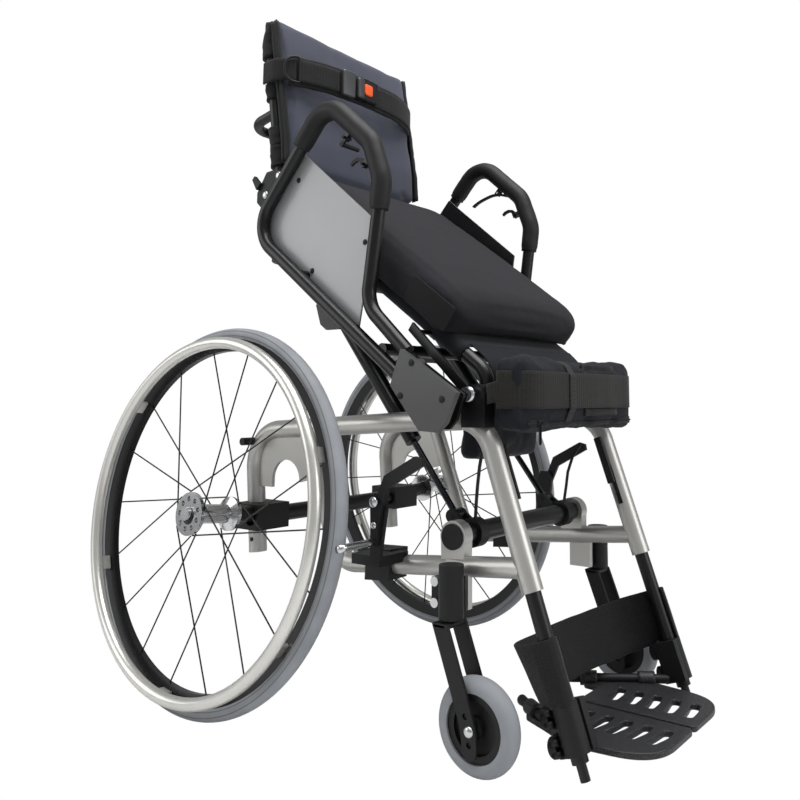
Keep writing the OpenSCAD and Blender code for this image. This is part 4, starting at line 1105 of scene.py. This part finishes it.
# %% Node tree helpers
class Maker:
    """A geometry node tree under construction."""

    def __init__(self, name, **inputs):
        self.tree = bpy.data.node_groups.new(name, "GeometryNodeTree")
        face = self.tree.interface
        face.new_socket("Geometry", in_out="INPUT", socket_type="NodeSocketGeometry")
        for key, kind in inputs.items():
            face.new_socket(key, in_out="INPUT", socket_type="NodeSocket" + kind)
        face.new_socket("Geometry", in_out="OUTPUT", socket_type="NodeSocketGeometry")
        self.start = self.tree.nodes.new("NodeGroupInput")
        self.end = self.tree.nodes.new("NodeGroupOutput")

    def given(self, key):
        return self.start.outputs[key]

    def node(self, kind, settings=None, **inputs):
        node = self.tree.nodes.new(kind)
        for key, value in (settings or {}).items():
            setattr(node, key, value)
        for key, value in inputs.items():
            slot = node.inputs[key.replace("_", " ")]
            if isinstance(value, bpy.types.NodeSocket):
                self.tree.links.new(value, slot)
            else:
                slot.default_value = value
        return node.outputs[0]

    def facing(self, instance):
        """The instance on every given point, turned to the point's own way."""
        way = self.node("GeometryNodeInputNamedAttribute", {"data_type": "FLOAT_VECTOR"}, Name="way")
        turn = self.node("FunctionNodeAlignRotationToVector", {"axis": "Z"}, Vector=way)
        return self.node("GeometryNodeInstanceOnPoints", Points=self.given("Geometry"), Instance=instance,
                         Rotation=turn)

    def done(self, instances, material):
        real = self.node("GeometryNodeRealizeInstances", Geometry=instances)
        smooth = self.node("GeometryNodeSetShadeSmooth", Geometry=real)
        final = self.node("GeometryNodeSetMaterial", Geometry=smooth, Material=material)
        self.tree.links.new(final, self.end.inputs[0])
        return self.tree


def repeated(name, tree, points, edges, ways, body, slot, **inputs):
    """Runs a tree on a few points and keeps the result as a plain mesh on one body."""
    mesh = bpy.data.meshes.new(name)
    mesh.from_pydata([tuple(p) for p in points], edges, [])
    if ways:
        way = mesh.attributes.new("way", "FLOAT_VECTOR", "POINT")
        way.data.foreach_set("vector", [c for w in ways for c in w])
    obj = bpy.data.objects.new(name, mesh)
    bpy.context.scene.collection.objects.link(obj)
    run = obj.modifiers.new("repeat", "NODES")
    run.node_group = tree
    for key, value in inputs.items():
        run[tree.interface.items_tree[key].identifier] = value
    applied(obj)
    return keep(obj, body, slot)


# %% Screws
screw = Maker("screw_heads", Radius="Float", Height="Float", Finish="Material")
dome = screw.node("GeometryNodeMeshUVSphere", Segments=20, Rings=10)
squash = screw.node("ShaderNodeCombineXYZ", X=screw.given("Radius"), Y=screw.given("Radius"), Z=screw.given("Height"))
head = screw.node("GeometryNodeTransform", Geometry=dome, Scale=squash)
screw_tree = screw.done(screw.facing(head), screw.given("Finish"))


def slot_of(material):
    return "steel" if material is steel else "black_plastic"


def screws(name, places, out, radius, height, finish, body):
    repeated(name, screw_tree, places, [], [tuple(out)] * len(places), body, slot_of(finish), Radius=radius,
             Height=height, Finish=finish)


# Name, distance from the middle, places ahead and up, radius, height, finish and body
SCREWS = [("panel_screws_", 199.6, [(94, 846), (251, 722), (133, 688)], 0.0048, 0.0024, black_plastic, "arms"),
          ("cover_screws_", 234, [(378, 530), (358, 484), (433, 479)], 0.0052, 0.0022, black_plastic, "arms"),
          ("bracket_screws_", 182, [(20, 871), (-14, 841)], 0.0072, 0.0030, steel, "back_carrier"),
          ("knee_screw_", 195.5, [(449, 486)], 0.0112, 0.0052, steel, "chassis"),
          ("brake_pivot_", 240.6, [(316, 335)], 0.0078, 0.0040, steel, "chassis"),
          ("brake_bolt_", 235, [(312, 302)], 0.0052, 0.0030, steel, "{}_brake")]
for name, side in SIDES:
    for title, x, spots, radius, height, finish, body in SCREWS:
        screws(title + name, [at(side * x, q, z) for q, z in spots], ACROSS * side, radius, height, finish,
               body.format(name))
print("screws ready")

# %% [markdown]
# ## Forks and footplates
#
# The fork legs and the footplates are flat shapes with holes, cut from plate and softened at the edges. The stem,
# the axle, the knuckles under the plates and the brake pin's sleeve are plain rods.

# %% Cut plates
def round_off(points, radii, steps=8):
    """A closed outline with its corners rounded."""
    out = []
    for i, (p, r) in enumerate(zip(points, radii)):
        here = Vector(p)
        a, b = Vector(points[i - 1]) - here, Vector(points[(i + 1) % len(points)]) - here
        first = here + a.normalized() * min(r, a.length * 0.49)
        last = here + b.normalized() * min(r, b.length * 0.49)
        for k in range(steps + 1):
            t = k / steps
            out.append(first * (1 - t) ** 2 + here * 2 * t * (1 - t) + last * t ** 2)
    return out


def cut_plate(name, outlines, thick, edge, place, material):
    """A plate with soft edges from an outline and its holes, all in millimetres."""
    drawn = bpy.data.curves.new(name + "_drawn", "CURVE")
    drawn.dimensions = "2D"
    drawn.fill_mode = "BOTH"
    drawn.extrude, drawn.bevel_depth, drawn.offset = thick / 2 - edge, edge, -edge
    drawn.bevel_resolution = 2
    for points in outlines:
        line = drawn.splines.new("POLY")
        line.points.add(len(points) - 1)
        for corner, q in zip(line.points, points):
            corner.co = (q[0], q[1], 0.0, 1.0)
        line.use_cyclic_u = True
    holder = bpy.data.objects.new(name + "_drawn", drawn)
    bpy.context.scene.collection.objects.link(holder)
    solid = bpy.data.meshes.new_from_object(holder.evaluated_get(bpy.context.evaluated_depsgraph_get()))
    verts = [place(*v.co) for v in solid.vertices]
    faces = [list(f.vertices) for f in solid.polygons]
    bpy.data.objects.remove(holder)
    bpy.data.curves.remove(drawn)
    piece = link(name, verts, faces, [[(verts[i].x, verts[i].y) for i in f] for f in faces], material, smooth=False)
    outward(piece, weld=0.00002)
    return piece


def hole(x, y, radius):
    return [(x + a, y + b) for a, b in disc(radius, 16)]


def rod(name, points, radius, material, body, count=14):
    return keep(tube(name, points, radius, material, count), body, slot_of(material))


# %% Forks, footplates and what turns with them
CASTER_X, SWIVEL, TRAIL, WHEEL_Z = 210, 432, 478, 62
HALF_FORK = 19.5
CAMBER, HUB_CAP = math.radians(6.2), 0.0398
LEG = round_off([(416, 186), (442, 186), (489, 64), (490, 27), (466, 27), (466, 58)], [3, 3, 20, 16, 16, 20])
LEG_HOLES = [hole(472, 79, 4), hole(478, 46, 4)]
PLATE = round_off([(3, 505), (3, 684), (120, 684), (134, 560), (112, 520), (90, 470), (68, 478), (66, 505)],
                  [3, 9, 62, 16, 12, 8, 5, 4], steps=12)
SLOTS = [round_off([(30, q), (56, q - 2), (82, q - 7), (82, q + 6), (56, q + 12), (30, q + 13)], [6] * 6)
         for q in range(539, 660, 29)]
PLATE_MID = 36.5
HINGE_OUT, HINGE_IN, HINGE_LONG = Vector((148, 585, 45)), Vector((60, 447, 45)), 163.7
KNUCKLES = (22, 112)
for name, side in SIDES:
    fork, plate = name + "_fork", name + "_plate"
    for reach in (CASTER_X - HALF_FORK, CASTER_X + HALF_FORK):
        leg = cut_plate("%s_leg_%d" % (fork, reach), [LEG] + LEG_HOLES, 5.0, 0.8,
                        lambda u, v, w, x=side * reach: at(x + w, u, v), black_plastic)
        keep(leg, fork, "black_plastic", *([name + "_caster_fork"] if reach > CASTER_X else []))
    bar_block(fork + "_crown", at(side * CASTER_X, 429, 182.5), ACROSS, AHEAD, (0.044, 0.0256, 0.007), 0.004,
              black_plastic, fork, "black_plastic")
    rod(fork + "_stem", [at(side * CASTER_X, SWIVEL, z) for z in (181, 190, 200, 210)], 0.006, steel, fork)
    rod(name + "_caster_axle", [at(side * x, TRAIL, WHEEL_Z) for x in (187, 200, 220, 233)], 0.004, steel, fork)
    for out, x in ((side, 232), (-side, 188)):
        screws("%s_caster_bolt_%d" % (name, x), [at(side * x, TRAIL, WHEEL_Z)], ACROSS * out, 0.0074, 0.0048, steel,
               fork)
    cast = cut_plate(plate + "_cast", [PLATE] + SLOTS, 9.0, 2.2, lambda u, v, w: at(side * u, v, PLATE_MID + w),
                     speckled)
    keep(cast, plate, "black_plastic", name + "_footplate")
    for first in KNUCKLES:
        along = [HINGE_OUT.lerp(HINGE_IN, (first + k) / HINGE_LONG) for k in (0, 4, 22, 26)]
        rod("%s_knuckle_%d" % (plate, first), [at(side * q.x, q.y, q.z) for q in along], 0.011, speckled, plate, 24)
    rod("brake_pin_sleeve_" + name, [at(side * x, 312, 279) for x in (236, 250, 270, 290, 303.7)], 0.0055, steel,
        name + "_brake")
    low, high = (Vector(corner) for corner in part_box(name + "_hub"))
    axis = Vector((side * math.cos(CAMBER), 0, -math.sin(CAMBER)))
    screws("hub_cap_" + name, [(low + high) / 2 + axis * HUB_CAP], axis, 0.0135, 0.0042, black_plastic,
           name + "_wheel")
print("forks and plates ready")

# %% Stitches
stitch = Maker("stitches", Length="Float", Pitch="Float", Thick="Float", Finish="Material")
seam = stitch.node("GeometryNodeMeshToCurve", Mesh=stitch.given("Geometry"))
spaced = stitch.node("GeometryNodeResampleCurve", {"mode": "LENGTH"}, Curve=seam, Length=stitch.given("Pitch"))
bead = stitch.node("GeometryNodeMeshUVSphere", Segments=8, Rings=6, Radius=0.5)
sizes = stitch.node("ShaderNodeCombineXYZ", X=stitch.given("Thick"), Y=stitch.given("Thick"),
                    Z=stitch.given("Length"))
loop = stitch.node("GeometryNodeTransform", Geometry=bead, Scale=sizes)
tangent = stitch.node("GeometryNodeInputTangent")
lie = stitch.node("FunctionNodeAlignRotationToVector", {"axis": "Z"}, Vector=tangent)
row = stitch.node("GeometryNodeInstanceOnPoints", Points=spaced, Instance=loop, Rotation=lie)
stitch_tree = stitch.done(row, stitch.given("Finish"))


def stitches(name, line, body, slot, length=0.0032, pitch=0.0044, thick=0.0009):
    repeated(name, stitch_tree, line, [(i, i + 1) for i in range(len(line) - 1)], None, body, slot,
             Length=length, Pitch=pitch, Thick=thick, Finish=thread)


def sewn(name, target, points, body, slot):
    """Stitches along points dropped onto a piece."""
    stitches(name, laid(target, points, 0.0003), body, slot)


BOX_X, BOX_Z = (-174, -150), (470, 514)
FRONT_OF_BACK = 300
for k, across in enumerate((-0.0195, 0.0195)):
    line = [belt_face(i, 0.0052) + UP * across for i in range(ring_at + 4, BELT_STEPS - 8)]
    stitches("belt_stitch_%d" % k, line, "back", "black_webbing")
for k, x in enumerate(BOX_X):
    sewn("knee_strap_stitch_%d" % k, pad_strap, [at(x, FRONT_OF_PAD, z) for z in np.linspace(*BOX_Z, 12)],
         "chassis", "black_webbing")
for k, z in enumerate(BOX_Z):
    sewn("knee_strap_cross_%d" % k, pad_strap, [at(x, FRONT_OF_PAD, z) for x in np.linspace(*BOX_X, 8)],
         "chassis", "black_webbing")
for name, side in SIDES:
    sewn("back_hem_stitch_" + name, back, [at(side * 166, FRONT_OF_BACK, z) for z in np.linspace(900, 1170, 50)],
         "back", "navy_fabric")
sewn("back_top_stitch", back, [at(x, FRONT_OF_BACK, 1166) for x in np.linspace(-168, 168, 50)], "back",
     "navy_fabric")
print("stitches ready")

# %% Zip under the knee pad
zip_line = laid(pad, [at(x, FRONT_OF_PAD, 446) for x in np.linspace(-164, 156, 90)], 0.0006)
webbed("knee_pad_zip_tape", zip_line, UP, 0.011, 0.0014, binding, "chassis")
stitches("knee_pad_zip_teeth", [p + AHEAD * 0.0010 for p in zip_line], "chassis", "black_webbing",
         length=0.0012, pitch=0.0022, thick=0.0034)
pull = zip_line[6] + AHEAD * 0.004
bar_block("knee_pad_zip_slider", pull, ACROSS, UP, (0.009, 0.008, 0.004), 0.002, black_plastic, "chassis",
          "black_plastic")
bar_block("knee_pad_zip_pull", pull + Vector((-0.002, -0.001, -0.016)), ACROSS, UP, (0.006, 0.026, 0.002),
          0.0014, black_plastic, "chassis", "black_plastic")
print("zip ready")

# %% Star knobs on the foot posts
knob = Maker("star_knob", Count="Int", Reach="Float", Lobe="Float", Thick="Float", Finish="Material")
circle = knob.node("GeometryNodeMeshCircle", Vertices=knob.given("Count"), Radius=knob.given("Reach"))
lobe = knob.node("GeometryNodeMeshCylinder", Vertices=20, Radius=knob.given("Lobe"), Depth=knob.given("Thick"))
lobes = knob.node("GeometryNodeInstanceOnPoints", Points=circle, Instance=lobe)
ring_of_lobes = knob.node("GeometryNodeRealizeInstances", Geometry=lobes)
knob_tree = knob.done(knob.facing(ring_of_lobes), knob.given("Finish"))
KNOB_X, KNOB_BACK, KNOB_UP = 167, 23.3, (-150, -185)
for name, side in SIDES:
    places = [on_leg(side * KNOB_X, KNOB_BACK, up) for up in KNOB_UP]
    repeated("star_knobs_" + name, knob_tree, places, [], [tuple(LEAN_BACK)] * 2, "footrest", "black_plastic",
             Count=5, Reach=0.0118, Lobe=0.0046, Thick=0.0115, Finish=black_plastic)
print("knobs ready")

# %% [markdown]
# ## Camera, floor and light
#
# The camera stands low in front of the chair's right side and looks slightly up, as in the photograph.
# A pale floor and room and big soft lights give the even studio look; floor and room show plain white.

# %% Camera
eye = bpy.data.cameras.new("eye")
eye.lens = 36.13
eye.sensor_width = 36.0
eye.shift_x = -0.107
eye.shift_y = -0.119
camera = bpy.data.objects.new("camera", eye)
HEADING, PITCH = (0.8135, 0.5816), 0.1192
forward = Vector((HEADING[0] * math.cos(PITCH), HEADING[1] * math.cos(PITCH), math.sin(PITCH)))
camera.location = (-1.0897, -0.9246, 0.4768)
camera.rotation_euler = forward.to_track_quat("-Z", "Y").to_euler()
bpy.context.scene.collection.objects.link(camera)
bpy.context.scene.camera = camera
bpy.context.scene.view_settings.view_transform = "Standard"
print("camera set")


# %% Floor and light
def blend(tree, amount, plain, seen, end):
    """Mixes two shaders by an amount and sends the result to the tree's output."""
    mix = tree.nodes.new("ShaderNodeMixShader")
    for slot, socket in zip(mix.inputs, (amount, plain, seen)):
        tree.links.new(socket, slot)
    tree.links.new(mix.outputs[0], next(n for n in tree.nodes if n.type == end).inputs[0])


def rays(tree):
    return tree.nodes.new("ShaderNodeLightPath").outputs


paper = Finish("floor_paper", base_color=(0.82, 0.82, 0.82, 1.0), roughness=0.8)
blend(paper.tree, rays(paper.tree)["Is Camera Ray"], paper.shader.outputs[0],
      paper.node("Emission", strength=1.0).socket, "OUTPUT_MATERIAL")
bpy.ops.mesh.primitive_plane_add(size=14.0, location=(0, 0, -0.001))
floor = bpy.context.object
floor.name = "floor"
floor.data.materials.append(paper.material)

world = bpy.data.worlds.new("studio")
bpy.context.scene.world = world
world.use_nodes = True
sky = world.node_tree
room = next(n for n in sky.nodes if n.type == "BACKGROUND")
room.inputs[0].default_value = (0.95, 0.97, 1.0, 1.0)
room.inputs[1].default_value = 0.22
white = sky.nodes.new("ShaderNodeBackground")
white.inputs[0].default_value = (1.0, 1.0, 1.0, 1.0)
white.inputs[1].default_value = 1.0
path = rays(sky)
share = sky.nodes.new("ShaderNodeMath")
share.operation = "MULTIPLY_ADD"
share.inputs[1].default_value = 0.22  # of the white room that shiny parts show
sky.links.new(path["Is Glossy Ray"], share.inputs[0])
sky.links.new(path["Is Camera Ray"], share.inputs[2])
blend(sky, share.outputs[0], room.outputs[0], white.outputs[0], "OUTPUT_WORLD")


def soft_light(name, place, aim, size, watts):
    data = bpy.data.lights.new(name, "AREA")
    data.shape = "RECTANGLE"
    data.size, data.size_y = size
    data.energy = watts
    lamp = bpy.data.objects.new(name, data)
    lamp.location = place
    lamp.rotation_euler = (Vector(aim) - Vector(place)).to_track_quat("-Z", "Y").to_euler()
    bpy.context.scene.collection.objects.link(lamp)


soft_light("top", (-0.3, -0.6, 3.2), (0, 0, 0.6), (2.4, 2.4), 120)
soft_light("side", (-2.2, 1.9, 1.5), (-0.2, 0, 0.7), (2.0, 2.0), 26)
soft_light("front", (0.6, -3.0, 1.4), (0, 0, 0.6), (2.0, 1.4), 26)
print("stage ready")
